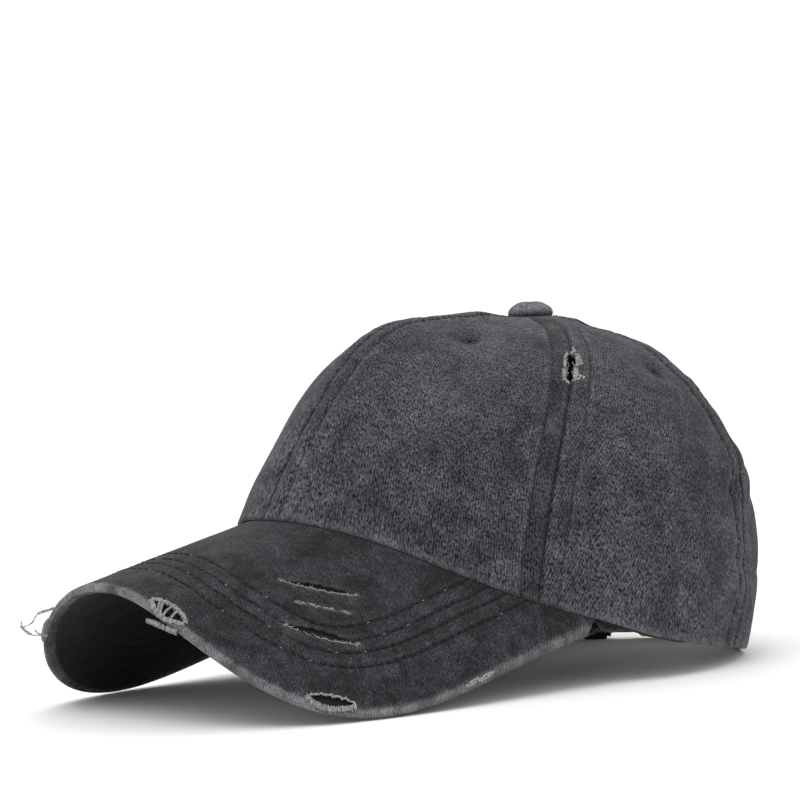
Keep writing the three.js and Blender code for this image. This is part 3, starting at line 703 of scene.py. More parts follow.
def fill(tree, socket, part):
    if isinstance(part, Value):
        tree.links.new(part.socket, socket)
    elif part is not None:
        if hasattr(part, "__len__") and len(part) == 3 and len(socket.default_value) == 4:
            part = (*part, 1)
        socket.default_value = part


class Finish:
    """A material being made."""

    def __init__(self, name, roughness, sheen=0.0, metallic=0.0):
        self.material = bpy.data.materials.new(name)
        self.material.use_nodes = True
        self.tree = self.material.node_tree
        self.shader = self.tree.nodes["Principled BSDF"]
        self.shader.inputs["Roughness"].default_value = roughness
        self.shader.inputs["Sheen Weight"].default_value = sheen
        self.shader.inputs["Metallic"].default_value = metallic
        self.shader.inputs["Specular IOR Level"].default_value = 0.5 if metallic else 0.2

    def node(self, kind, inputs, output=0, **settings):
        node = self.tree.nodes.new(kind)
        for setting, value in settings.items():
            setattr(node, setting, value)
        for name, part in inputs.items():
            fill(self.tree, node.inputs[name], part)
        return Value(self.tree, node.outputs[output])

    def field(self, name):
        output = "Vector" if name == "cloth" else "Fac"
        return self.node("ShaderNodeAttribute", {}, output, attribute_name=name)

    def place(self):
        return self.node("ShaderNodeTexCoord", {}, "Object")

    def scaled(self, vector, factors):
        return self.node("ShaderNodeVectorMath", {0: vector, 1: factors}, operation="MULTIPLY")

    def dimmed(self, colour, factor):
        return self.node("ShaderNodeVectorMath", {0: colour, "Scale": factor}, operation="SCALE")

    def parts(self, vector):
        node = self.tree.nodes.new("ShaderNodeSeparateXYZ")
        fill(self.tree, node.inputs[0], vector)
        return [Value(self.tree, socket) for socket in node.outputs]

    def noise(self, vector, scale, detail=2.0, roughness=0.5, distortion=0.0):
        return self.node("ShaderNodeTexNoise", {
            "Vector": vector, "Scale": scale, "Detail": detail,
            "Roughness": roughness, "Distortion": distortion,
        })

    def mixed(self, factor, first, second):
        node = self.tree.nodes.new("ShaderNodeMix")
        node.data_type = "RGBA"
        fill(self.tree, node.inputs[0], factor)
        fill(self.tree, node.inputs[6], first)
        fill(self.tree, node.inputs[7], second)
        return Value(self.tree, node.outputs[2])

    def bump(self, height, distance, strength=1.0):
        return self.node("ShaderNodeBump", {"Height": height, "Distance": distance, "Strength": strength})

    def finish(self, colour, normal=None, roughness=None):
        fill(self.tree, self.shader.inputs["Base Color"], colour)
        fill(self.tree, self.shader.inputs["Normal"], normal)
        fill(self.tree, self.shader.inputs["Roughness"], roughness)
        return self.material


def washed_twill(name, look, rib_angle, tone=1.0, rib_pitch=1.0, mottle=1.0, coarse=1.0):
    """Faded twill: slanted ribs, uneven dye, pale fibres, and pale worn edges."""
    finish = Finish(name, 0.95, sheen=0.05)
    pitch = rib_pitch * look.rib_pitch
    cloth = finish.field("cloth")
    across, along, _ = finish.parts(cloth)
    angle = math.radians(rib_angle)
    over = across * math.cos(angle) + along * math.sin(angle)
    down = along * math.cos(angle) - across * math.sin(angle)
    wobble = finish.noise(cloth, 0.22, 2.0)
    rib = (over * (2 * math.pi / pitch) + wobble * 4.0).sine()
    twist = (down * (2 * math.pi / (1.4 * pitch)) + over * (1.1 / pitch) + wobble * 7.0).sine()
    grain = finish.noise(cloth, 1.15, 3.0, 0.75) - 0.5
    fibre = finish.noise(finish.scaled(cloth, (1.0, 0.4, 1.0)), 1.7, 2.0, 0.6) - 0.5
    blotch = finish.noise(cloth, 0.26, 4.0, 0.62, 0.5) - 0.5
    place = finish.place()
    broad = finish.noise(place, 24.0, 3.0, 0.6, 0.6)
    patch = finish.noise(place, 80.0, 4.0, 0.62, 0.8)
    wear = finish.field("wear")
    shade = finish.field("shade")
    dye = (broad * 0.4 + patch * 0.6).between(0.51 - 0.13 / mottle, 0.51 + 0.13 / mottle)
    colour = finish.mixed(dye, tuple(look.dark), tuple(look.light))
    crest = (finish.noise(cloth, 0.5, 3.0, 0.7) - 0.5) * along.between(80, 125)
    fluff = (grain * 6.9 + fibre * 3.4) * coarse
    weave = (rib * 0.34 + twist * 0.06 + fluff + blotch * 1.9 + crest * 4.0 + 1.0).raised(0.10)
    colour = finish.dimmed(colour, weave * tone)
    speck = (grain + blotch * 0.5).between(0.14, 0.26)
    colour = finish.mixed(speck * 0.35, colour, tuple(look.worn))
    rubbed = (wear * (rib * 0.22 + grain * 2.2 + blotch * 2.0 + 0.95)).limited()
    colour = finish.mixed(rubbed, colour, tuple(look.worn))
    colour = finish.dimmed(colour, 1 - shade)
    height = rib * 0.3 + twist * 0.1 + grain * 0.9
    return finish.finish(colour, finish.bump(height, 0.16 * MM, 0.9))


def thread_finish(name, dark, light):
    """Twisted thread, its shade varying from one strand to the next."""
    finish = Finish(name, 0.9, sheen=0.1)
    tone = finish.field("tone")
    fuzz = finish.noise(finish.place(), 1400.0, 2.0)
    colour = finish.mixed((tone * 0.8 + fuzz * 0.5 - 0.15).limited(), dark, light)
    return finish.finish(colour, finish.bump(fuzz, 0.08 * MM, 0.7))


def stiff_board():
    """Dark pressed board inside the brim."""
    finish = Finish("brim board", 0.95)
    fibre = finish.noise(finish.place(), 900.0, 3.0, 0.6)
    colour = finish.mixed(fibre, (0.007, 0.007, 0.009), (0.020, 0.020, 0.023))
    return finish.finish(colour, finish.bump(fibre, 0.1 * MM, 0.6))


def brass(look):
    """Plated brass with fine scratches and darker tarnish."""
    finish = Finish("brass", 0.3, metallic=1.0)
    place = finish.place()
    tarnish = finish.noise(place, 320.0, 4.0, 0.6)
    scratch = finish.noise(finish.scaled(place, (4000.0, 4000.0, 400.0)), 1.0, 2.0)
    colour = finish.mixed(tarnish.between(0.42, 0.72), tuple(look.brass), tuple(look.tarnish))
    roughness = tarnish * 0.25 + scratch * 0.15 + 0.12
    return finish.finish(colour, finish.bump(scratch, 0.02 * MM, 0.3), roughness)


# Sizes and colours that a user would change


class CapCloth(bpy.types.PropertyGroup):
    dark: FloatVectorProperty(
        name="Dark dye", description="Cloth where the dye has stayed", subtype="COLOR",
        size=3, min=0, max=1, default=(0.0260, 0.0253, 0.0306),
    )
    light: FloatVectorProperty(
        name="Faded dye", description="Cloth where the dye has washed out", subtype="COLOR",
        size=3, min=0, max=1, default=(0.0660, 0.0642, 0.0758),
    )
    worn: FloatVectorProperty(
        name="Worn edge", description="Bare fibres at rubbed edges", subtype="COLOR",
        size=3, min=0, max=1, default=(0.22, 0.22, 0.23),
    )
    rib_pitch: FloatProperty(
        name="Rib pitch", description="Distance between the twill's ribs, in millimetres",
        default=0.95, min=0.4, max=3,
    )


class CapSewing(bpy.types.PropertyGroup):
    stitch_length: FloatProperty(
        name="Stitch length", description="Length of one stitch, in millimetres", default=2.5, min=1, max=6,
    )
    stitch_gap: FloatProperty(
        name="Stitch gap", description="Cloth between two stitches, in millimetres",
        default=0.8, min=0.2, max=4,
    )
    thread: FloatProperty(
        name="Thread", description="Diameter of the sewing thread, in millimetres",
        default=0.42, min=0.1, max=1.5,
    )
    seam_allowance: FloatProperty(
        name="Seam allowance", description="Distance from a seam to its topstitching, in millimetres",
        default=6.8, min=3, max=12,
    )


class CapFray(bpy.types.PropertyGroup):
    strand: FloatProperty(
        name="Strand", description="Diameter of a loose strand, in millimetres",
        default=0.40, min=0.1, max=1,
    )
    density: FloatProperty(
        name="Density", description="Loose ends per millimetre of a torn edge", default=3.2, min=0.2, max=8,
    )
    pale: FloatVectorProperty(
        name="Strand colour", description="Undyed heart of the cloth", subtype="COLOR",
        size=3, min=0, max=1, default=(0.38, 0.38, 0.37),
    )


class CapMetal(bpy.types.PropertyGroup):
    wire: FloatProperty(
        name="Wire", description="Diameter of the buckle's wire, in millimetres",
        default=1.35, min=0.6, max=3,
    )
    teeth: IntProperty(name="Teeth", description="Ridges on the clamp lever", default=16, min=4, max=30)
    brass: FloatVectorProperty(
        name="Brass", description="Bright metal", subtype="COLOR",
        size=3, min=0, max=1, default=(0.72, 0.46, 0.15),
    )
    tarnish: FloatVectorProperty(
        name="Tarnish", description="Duller metal", subtype="COLOR",
        size=3, min=0, max=1, default=(0.42, 0.26, 0.09),
    )


class CapStage(bpy.types.PropertyGroup):
    floor: FloatVectorProperty(
        name="Floor", description="Colour of the floor", subtype="COLOR",
        size=3, min=0, max=1, default=(0.975, 0.975, 0.975),
    )
    key: FloatProperty(
        name="Key light", description="Power of the soft overhead light", subtype="POWER",
        unit="POWER", default=9, min=0,
    )
    fill: FloatProperty(
        name="Surrounding light", description="Strength of the even surrounding light", default=1.06, min=0,
    )


# Crown panels


def front_seam(share):
    return FRONT_SEAM[0] + FRONT_SEAM[1] * share


def rear_seam(share):
    """The rear seams wander a little, as the washed cloth has shrunk along them."""
    wander = 1.2 * np.sin(17 * share + 0.9) * np.clip(4 * share, 0, 1) * np.clip(4 * (1 - share), 0, 1)
    return REAR_SEAM[0] + REAR_SEAM[1] * share + wander


def level(value):
    return lambda share: value + 0 * share


def mirrored(seam):
    return lambda share: -seam(share)


# Name, first seam, last seam, slant of the ribs
PANELS = (
    ("front_panel_left", level(0), front_seam, 0),
    ("front_panel_right", mirrored(front_seam), level(0), 4),
    ("side_panel_left", front_seam, rear_seam, -26),
    ("side_panel_right", mirrored(rear_seam), mirrored(front_seam), 24),
    ("back_panel_left", rear_seam, level(180), 8),
    ("back_panel_right", level(-180), mirrored(rear_seam), -38),
)

BACK_SEAM = level(180)
REAR_SEAMS = (rear_seam, mirrored(rear_seam))
SEAMS = (level(0), front_seam, rear_seam, mirrored(front_seam), REAR_SEAMS[1], BACK_SEAM)
SEAM_SEED = 11

# The crown's length from rim to top, a panel's rough width and height, and how far it runs past its seam
MERIDIAN_LENGTH = 150
PANEL_SIZE = (95, MERIDIAN_LENGTH)
SEAM_OVERLAP = 0.06

# The crown's middle line at the back, and its length up to each point
BACK_SHARES = np.linspace(0, 1, 401)
BACK_LENGTHS = path_lengths(smooth_crown(180.0, BACK_SHARES))


def back_place(side, up):
    """Azimuth and share of a point given by its distance to the side and up the unrolled back."""
    share = np.interp(up, BACK_LENGTHS, BACK_SHARES)
    share = np.where(up < 0, up / BACK_LENGTHS[1] * BACK_SHARES[1], share)
    radius = smooth_crown(180.0, share)[..., 1] - CREST_BACK * share ** 2
    return 180 - np.degrees(side / radius), share


def back_point(side, up, out):
    azimuth, share = back_place(np.asarray(side, float), np.asarray(up, float))
    return crown_point(azimuth, share, out)


def spline(points, count):
    """Smooth open curve through points, as evenly spaced points."""
    points = np.asarray(points, float)
    last = len(points) - 1
    position = np.linspace(0, last, 40 * last + 1)
    cell = np.minimum(position.astype(int), last - 1)
    share = (position - cell)[:, None]
    p0 = points[np.maximum(cell - 1, 0)]
    p1 = points[cell]
    p2 = points[cell + 1]
    p3 = points[np.minimum(cell + 2, last)]
    curve = p1 + 0.5 * share * (
        p2 - p0 + share * (2 * p0 - 5 * p1 + 4 * p2 - p3 + share * (3 * (p1 - p2) + p3 - p0))
    )
    lengths = path_lengths(curve)
    marks = np.linspace(0, lengths[-1], count + 1)
    return np.stack([np.interp(marks, lengths, curve[:, k]) for k in range(points.shape[1])], axis=-1)


def teardrop_outline(count=240):
    """Edge of the ponytail opening on the unrolled back."""
    left = [(out * TEARDROP_WIDTH / 2, TEARDROP_BOTTOM + up * TEARDROP_LENGTH) for up, out in TEARDROP_SIDE]
    right = [(-side, up) for side, up in reversed(left)]
    return spline(left + [(0, TEARDROP_BOTTOM + TEARDROP_LENGTH)] + right, count)[:-1]


def arch_outline(foot, steps=160):
    """Edge of the opening over the strap on the unrolled back, with its ends at a height."""
    angle = np.linspace(0, np.pi, steps + 1)
    cosine = np.cos(angle)
    side = np.sign(cosine) * np.abs(cosine) ** (2 / ARCH_ROUNDNESS) * ARCH_WIDTH / 2
    up = np.sin(angle) ** (2 / ARCH_ROUNDNESS) * ARCH_HEIGHT
    outline = np.stack([side, up], axis=-1)
    outline[0, 1] = foot
    outline[-1, 1] = foot
    return outline


def widened(outline, distance, closed):
    """Moves an outline away from the opening it goes round."""
    if closed:
        along = np.roll(outline, -1, axis=0) - np.roll(outline, 1, axis=0)
    else:
        along = np.gradient(outline, axis=0)
    along = unit(along)
    outward = np.stack([along[:, 1], -along[:, 0]], axis=-1)
    return outline + outward * np.asarray(distance)[..., None]


def panel_outlines(name, first, last):
    """Openings cut out of a panel, in its own unit square."""
    def squared(azimuth, share):
        start, end = first(share), last(share)
        azimuth = np.where(azimuth > end + 180, azimuth - 360, azimuth)
        return np.stack([(azimuth - start) / (end - start), share / TOP_SHARE], axis=-1)

    outlines = []
    side = -1 if name.endswith("right") else 1
    if name.startswith("back"):
        edge = BINDING_LIP + GAP
        below_rim = -4
        arch = widened(arch_outline(below_rim), edge, False)
        for outline in (widened(teardrop_outline(), edge, True), arch):
            azimuth, share = back_place(outline[:, 0], outline[:, 1])
            outlines.append(squared(azimuth - 360 if side < 0 else azimuth, share))
        return outlines
    turn = np.linspace(0, 2 * np.pi, 21)[:-1]
    azimuth, share = EYELETS[0] if name.startswith("front") else EYELETS[1]
    across, up = patch_scale(azimuth, share)
    round_hole = np.cos(turn) * EYELET_RADIUS / across, np.sin(turn) * EYELET_RADIUS / up
    outlines.append(squared(side * azimuth + round_hole[0], share + round_hole[1]))
    if name in ("front_panel_left", "side_panel_left"):
        hole = spline(SEAM_HOLE + SEAM_HOLE[:1], 44)[:-1]
        share = SEAM_HOLE_SHARE + hole[:, 1] / patch_scale(front_seam(SEAM_HOLE_SHARE), SEAM_HOLE_SHARE)[1]
        azimuth = front_seam(share) + hole[:, 0] / degree_length(front_seam(share), share)
        outlines.append(squared(azimuth, share))
    return outlines


def patch_scale(azimuth, share):
    """Millimetres for one degree across and for the whole share up, near a spot on the crown."""
    rise = np.linalg.norm(smooth_crown(azimuth, share + 0.01) - smooth_crown(azimuth, share - 0.01))
    return float(degree_length(azimuth, share)), float(rise / 0.02)


def edge_packed(count, tight):
    """Spacing that is closer near both ends."""
    even = np.linspace(0, 1, count)
    return even - tight * np.sin(2 * np.pi * even) / (2 * np.pi)


def seam_relief(distance, along, allowance, seed, pucker_height=1.0):
    """Height of the cloth near a seam: a sunk joint, a raised allowance, and puckers at its stitching."""
    spread = np.stack([along, np.zeros_like(along)], axis=-1)
    slow = soft_noise(spread, 6.5, seed)
    quick = soft_noise(spread, 2.6, seed + 7)
    raised = 0.42 * eased(distance, 0.0, 1.6) * (1 - eased(distance, allowance - 1.2, allowance + 0.2))
    joint = -0.65 * bump_at(distance, 0.5)
    groove = -0.34 * bump_at(distance - allowance, 0.7)
    pucker = (0.34 * slow + 0.12 * quick) * bump_at(distance - allowance, 3.6) * pucker_height
    pucker = pucker + 0.16 * quick * bump_at(distance - 1.8, 1.6)
    return raised + joint + groove + pucker


def seam_wear(distance, along, allowance, seed):
    """Pale rubbing on the ridges beside a seam and beside its stitching."""
    spread = np.stack([along, distance * 0.4], axis=-1)
    uneven = np.clip(0.55 + 0.75 * soft_noise(spread, 9.0, seed), 0, 1)
    lines = 0.18 * bump_at(distance - allowance - 1.2, 0.9) + 0.10 * bump_at(distance - 1.5, 0.7)
    return lines * uneven


def crown_relief(azimuth, share, point):
    """Wrinkles, creases and eyelet dimples of the crown's cloth, outwards."""
    relief = 0.55 * soft_noise(point, 34.0, 3) + 0.24 * soft_noise(point, 13.0, 5)
    relief = relief + 0.09 * soft_noise(point, 4.5, 9)
    relief = relief - crease_depth(azimuth, share)
    for eyelet_azimuth, eyelet_share in EYELETS:
        for side in (1, -1):
            centre = smooth_crown(side * eyelet_azimuth, eyelet_share)
            distance = np.linalg.norm(point - centre, axis=-1)
            relief = relief - 1.7 * bump_at(distance, 5.6) - 0.6 * bump_at(distance, 2.8)
    return relief


def seam_distances(azimuth, share):
    """Distance along the cloth to each of the six seams, with a number for its puckers."""
    degree = degree_length(azimuth, share)
    for number, seam in enumerate(SEAMS):
        yield number, turned(azimuth - seam(share)) * degree


def cloth_height(azimuth, share, allowance):
    """Everything that stands out from or sinks into the crown's smooth face."""
    azimuth = np.asarray(azimuth, float)
    share = np.asarray(share, float)
    along = share * MERIDIAN_LENGTH
    near_top = 1 - eased(share, 0.86, 0.97)
    relief = crown_relief(azimuth, share, smooth_crown(azimuth, share)) * near_top
    for number, away in seam_distances(azimuth, share):
        puckers = 2.2 if SEAMS[number] in REAR_SEAMS else 1.0
        sewn = seam_relief(away, along, allowance, SEAM_SEED + number, puckers)
        relief = relief + sewn * (0.25 + 0.75 * near_top)
    return relief * eased(share, -0.02, 0.03)


def allowance_marks(name, azimuth, share, degree, allowance):
    """Shade and wear of the folded allowances: beside the front seams and at the top of the back seam."""
    shade = wear = np.zeros(len(share))
    if name.startswith("front"):
        away = np.abs(front_seam(share) - np.abs(azimuth)) * degree
        within = 1 - eased(away, allowance - 0.8, allowance + 0.3)
        bunched = eased(share, 0.775, 0.81) * (1 - eased(share, 0.90, 0.94))
        shade = within * (0.34 * (1 - eased(share, 0.8, 0.95)) + 0.42 * bunched)
        wear = 0.16 * within * bump_at(share - 0.768, 0.013)
    if name.startswith("back"):
        away = turned(azimuth - BACK_SEAM(share)) * degree
        within = 1 - eased(away, allowance - 0.8, allowance + 0.3)
        shade = 0.38 * within * eased(share, 0.82, 0.86)
    return shade, wear


class CrownPanels(bpy.types.Operator):
    """Six sewn panels of washed twill with sunk seams, puckers and folds"""
    bl_idname = "cap.crown_panels"
    bl_label = "Crown panels"

    def execute(self, context):
        look = context.scene.cap_cloth
        allowance = context.scene.cap_sewing.seam_allowance
        columns = edge_packed(70, 0.45)
        rows = np.linspace(0, 1, 141)
        for name, first, last, slant in PANELS:
            spots, faces = cut_sheet(columns, rows, panel_outlines(name, first, last), PANEL_SIZE)
            share = TOP_SHARE * spots[:, 1]
            azimuth = first(share) + (last(share) - first(share)) * spots[:, 0]
            degree = degree_length(azimuth, share)
            azimuth = azimuth - SEAM_OVERLAP / degree * (1 - 2 * spots[:, 0])
            relief = cloth_height(azimuth, share, allowance)
            outer = crown_point(azimuth, share, relief)
            inner = crown_point(azimuth, share, relief - WALL)
            rim = spots[:, 1] < 1e-6
            outer[rim] = rim_point(azimuth[rim], np.zeros(rim.sum()))
            inner[rim] = rim_point(azimuth[rim], np.full(rim.sum(), WALL))
            along = share * MERIDIAN_LENGTH
            middle = 0.5 * (first(share) + last(share))
            cloth = np.stack([(azimuth - middle) * degree, along], axis=-1)
            shade, wear = allowance_marks(name, azimuth, share, degree, allowance)
            wear = wear + 0.30 * bump_at(share, 0.008) + 0.6 * np.clip(relief - 0.75, 0, 0.5)
            for number, away in seam_distances(azimuth, share):
                wear = wear + seam_wear(away, along, allowance, SEAM_SEED + number)
                shade = shade + 0.6 * bump_at(away, 0.38) + 0.28 * bump_at(away - allowance, 0.5)
            for centre, centre_share in EYELETS:
                spot = smooth_crown(math.copysign(centre, (first(0.5) + last(0.5))), centre_share)
                distance = np.linalg.norm(outer - spot, axis=-1)
                shade = shade + 0.62 * bump_at(distance, 4.0)
            mottle = 1.35 if name.startswith("back") else 1.0
            material = washed_twill(name.replace("_", " "), look, slant, mottle=mottle)
            cloth_piece(
                name + "_cloth", outer, inner, faces, cloth, np.clip(wear, 0, 1), material,
                name, (name,), np.clip(shade, 0, 0.8),
            )
        return {"FINISHED"}


class CrownStitching(bpy.types.Operator):
    """Topstitching on both sides of the crown's seams"""
    bl_idname = "cap.crown_stitching"
    bl_label = "Crown stitching"

    def execute(self, context):
        sizes = context.scene.cap_sewing
        allowance = sizes.seam_allowance
        bundle = Bundle()
        for seam in SEAMS:
            above_teardrop, above_rim = 0.87, 0.006
            lowest = above_teardrop if seam is BACK_SEAM else above_rim
            share = np.linspace(lowest, 0.93, 220)
            for side in (-1, 1):
                centre = seam(share)
                azimuth = centre + side * allowance / degree_length(centre, share)
                path = crown_point(azimuth, share, cloth_height(azimuth, share, allowance) + 0.02)
                sew(bundle, path, crown_normal(azimuth, share), sizes, 0.3)
        material = thread_finish("crown thread", (0.012, 0.012, 0.014), (0.05, 0.05, 0.054))
        bundle.piece("crown_stitching", material, "front_panel_left")
        return {"FINISHED"}


# Brim


def brim_edge(angle):
    """Edge of the brim in plan, at an angle from its centre."""
    angle = np.asarray(angle, float)
    turn = np.radians(np.minimum(np.abs(angle), 90))
    side_y = -FRONT_REACH + BRIM_SIDE_LENGTH
    front_y = -FRONT_REACH - BRIM_LENGTH
    x = BRIM_HALF_WIDTH * np.sin(turn) ** (2 / SQUARENESS)
    y = side_y - (side_y - front_y) * np.maximum(np.cos(turn), 0) ** (2 / SQUARENESS)
    share = np.clip((np.abs(angle) - 90) / (BRIM_END_ANGLE - 90), 0, 1)
    reach = rim_reach(BRIM_END_AZIMUTH)
    end = math.radians(BRIM_END_AZIMUTH)
    x = x + (reach * math.sin(end) - x) * share ** 1.5
    y = y + (-reach * math.cos(end) - y) * share
    return np.stack([np.sign(angle) * x, y], axis=-1)


def even_angles(count):
    """Angles whose edge points are evenly spaced along the brim."""
    angles = np.linspace(-BRIM_LAST_ANGLE, BRIM_LAST_ANGLE, 2001)
    edge = brim_edge(angles)
    edge = np.column_stack([edge, brim_height(edge[:, 0], edge[:, 1])])
    lengths = path_lengths(edge)
    return np.interp(np.linspace(0, lengths[-1], count), lengths, angles)


def brim_plan(angle, inset, share):
    """Plan position on the way from the crown to a line inset from the brim's edge, and its reach."""
    inner = rim_point(angle / BRIM_END_ANGLE * BRIM_END_AZIMUTH, np.full_like(angle, BRIM_UNDER_CROWN))
    edge = brim_edge(angle)
    length = np.hypot(edge[:, 0] - inner[:, 0], edge[:, 1] - inner[:, 1])
    reach = np.maximum(1 - inset / length, 0.3) * share
    x = inner[:, 0] + (edge[:, 0] - inner[:, 0]) * reach
    y = inner[:, 1] + (edge[:, 1] - inner[:, 1]) * reach
    return x, y, reach


def brim_point(angle, inset, share, offset):
    x, y, reach = brim_plan(angle, inset, share)
    along_x, along_y, steepness = brim_slopes(x, y)
    tilt = reach * offset / steepness
    height = brim_height(x, y) + (1 - reach) * offset * steepness + tilt
    return stack(x - along_x * tilt, y - along_y * tilt, height)


EDGE_ANGLES = np.linspace(-BRIM_LAST_ANGLE, BRIM_LAST_ANGLE, 161)
EDGE_PLAN = brim_edge(EDGE_ANGLES)
EDGE_LINE = np.column_stack([EDGE_PLAN, brim_height(EDGE_PLAN[:, 0], EDGE_PLAN[:, 1])])


def brim_normal(x, y):
    along_x, along_y, steepness = brim_slopes(x, y)
    return stack(-along_x / steepness, -along_y / steepness, 1 / steepness)


def slash_outline(slash):
    """Ragged lens-shaped opening in plan."""
    ax, ay, bx, by, width = slash
    start, end = np.array([ax, ay]), np.array([bx, by])
    along = end - start
    side = unit(np.array([-along[1], along[0]]))
    share = np.linspace(0, 1, SLASH_STEPS)
    half = width / 2 * np.sin(np.pi * share) ** 0.75
    ragged = 0.22 * np.sin(share * 41 + ax) + 0.16 * np.sin(share * 77 + by)
    near = start + along * share[:, None] + side * (half * (1 + ragged))[:, None]
    far = start + along * share[:, None] - side * (half * (1 + ragged[::-1]))[:, None]
    return np.vstack([near, far[::-1][1:-1]])


def edge_hole_outline(hole):
    """Ragged opening beside the brim's edge, as edge angle and distance in from the edge."""
    first, last, deep, shallow = hole
    share = np.linspace(0, 1, EDGE_HOLE_STEPS)
    angle = first + (last - first) * share
    middle = (deep + shallow) / 2
    half = (deep - shallow) / 2 * np.sin(np.pi * share) ** 0.6
    ragged = 0.14 * np.sin(share * 37 + first) + 0.10 * np.sin(share * 71 + deep)
    inner = np.stack([angle, middle + half * (1 + ragged)], axis=-1)
    outer = np.stack([angle, middle - half * (1 + 0.35 * ragged[::-1])], axis=-1)
    return np.vstack([inner, outer[::-1][1:-1]])


# Columns of points of a brim cloth, its rows out to the edge and round it, and the share of the rows
# before the edge
BRIM_COLUMNS = 300
BRIM_ROWS_OUT = 62
ROLL_ROWS = 12
FLAT_PART = BRIM_ROWS_OUT / (BRIM_ROWS_OUT + ROLL_ROWS)


def brim_section(up, side):
    """Share, inset and layer offset at a place between the crown (0) and the turned-in edge (1)."""
    radius = BRIM_TOTAL / 2
    share = np.clip(up / FLAT_PART, 0, 1)
    roll = np.clip((up - FLAT_PART) / (1 - FLAT_PART), 0, 1)
    last_turn = 128 if side > 0 else 52
    turn = np.radians(np.minimum(roll / 0.8, 1) * last_turn)
    inset = BRIM_EDGE_LIP - (BRIM_EDGE_LIP - radius) * eased(roll, 0, 0.12) - radius * np.sin(turn)
    offset = radius * np.cos(turn)
    tucked = eased(roll, 0.8, 1)
    inset = inset + 0.75 * tucked
    offset = offset + 0.25 * tucked
    return share, np.where(roll > 0, inset, BRIM_EDGE_LIP), side * np.where(roll > 0, offset, radius)


# Places up the brim's cloth and their distances in from its edge, for a brim about this deep
BRIM_DEPTH = 60
EDGE_UPS = np.linspace(0, 0.925, 900)
SECTION_SHARE, SECTION_INSET, _ = brim_section(EDGE_UPS, 1)
EDGE_DEPTHS = SECTION_INSET + (1 - SECTION_SHARE) * BRIM_DEPTH


def brim_relief(x, y, to_edge):
    """Rows of sunk stitching, puckers between them and gentle unevenness of the brim's cloth."""
    spot = np.stack([x, y], axis=-1)
    relief = 0.22 * soft_noise(spot, 16.0, 21) + 0.10 * soft_noise(spot, 5.0, 22)
    for row in BRIM_ROWS:
        relief = relief - 0.34 * bump_at(to_edge - row, 0.7) + 0.05 * bump_at(to_edge - row - 2.7, 1.5)
    relief = relief * eased(to_edge, 1.5, 6)
    return relief + 0.16 * soft_noise(spot, 3.2, 23) * bump_at(to_edge - 1.5, 3.0)


def to_brim_square(x, y):
    """Place in the brim cloth's unit square of a plan point: a search along columns from the crown."""
    angles = np.linspace(-BRIM_LAST_ANGLE, BRIM_LAST_ANGLE, 801)
    inner_azimuths = angles / BRIM_END_ANGLE * BRIM_END_AZIMUTH
    inner = rim_point(inner_azimuths, np.full_like(angles, BRIM_UNDER_CROWN))[:, :2]
    x_edge, y_edge, _ = brim_plan(angles, np.full_like(angles, BRIM_EDGE_LIP), np.ones_like(angles))
    edge = np.stack([x_edge, y_edge], axis=-1)
    ray = edge - inner
    places = []
    for point in np.stack([x, y], axis=-1):
        offset = point - inner
        aside = (ray[:, 0] * offset[:, 1] - ray[:, 1] * offset[:, 0]) / np.linalg.norm(ray, axis=1)
        change = np.nonzero((aside[:-1] > 0) != (aside[1:] > 0))[0]
        k = change[np.argmin(np.linalg.norm(edge[change] - point, axis=1))]
        mix = aside[k] / (aside[k] - aside[k + 1])
        ray_here = ray[k] + (ray[k + 1] - ray[k]) * mix
        inner_here = inner[k] + (inner[k + 1] - inner[k]) * mix
        out = (point - inner_here) @ ray_here / (ray_here @ ray_here)
        places.append((angles[k] + (angles[k + 1] - angles[k]) * mix, out))
    return np.array(places)


def flat_brim(x, y):
    """Place on the flat cloth of a point of the arched brim."""
    spread = np.linspace(0, BRIM_HALF_WIDTH + 6, 120)
    heights = brim_height(spread, np.zeros_like(spread))
    lengths = np.concatenate([[0], np.cumsum(np.hypot(np.diff(spread), np.diff(heights)))])
    return np.stack([np.sign(x) * np.interp(np.abs(x), spread, lengths), y], axis=-1)


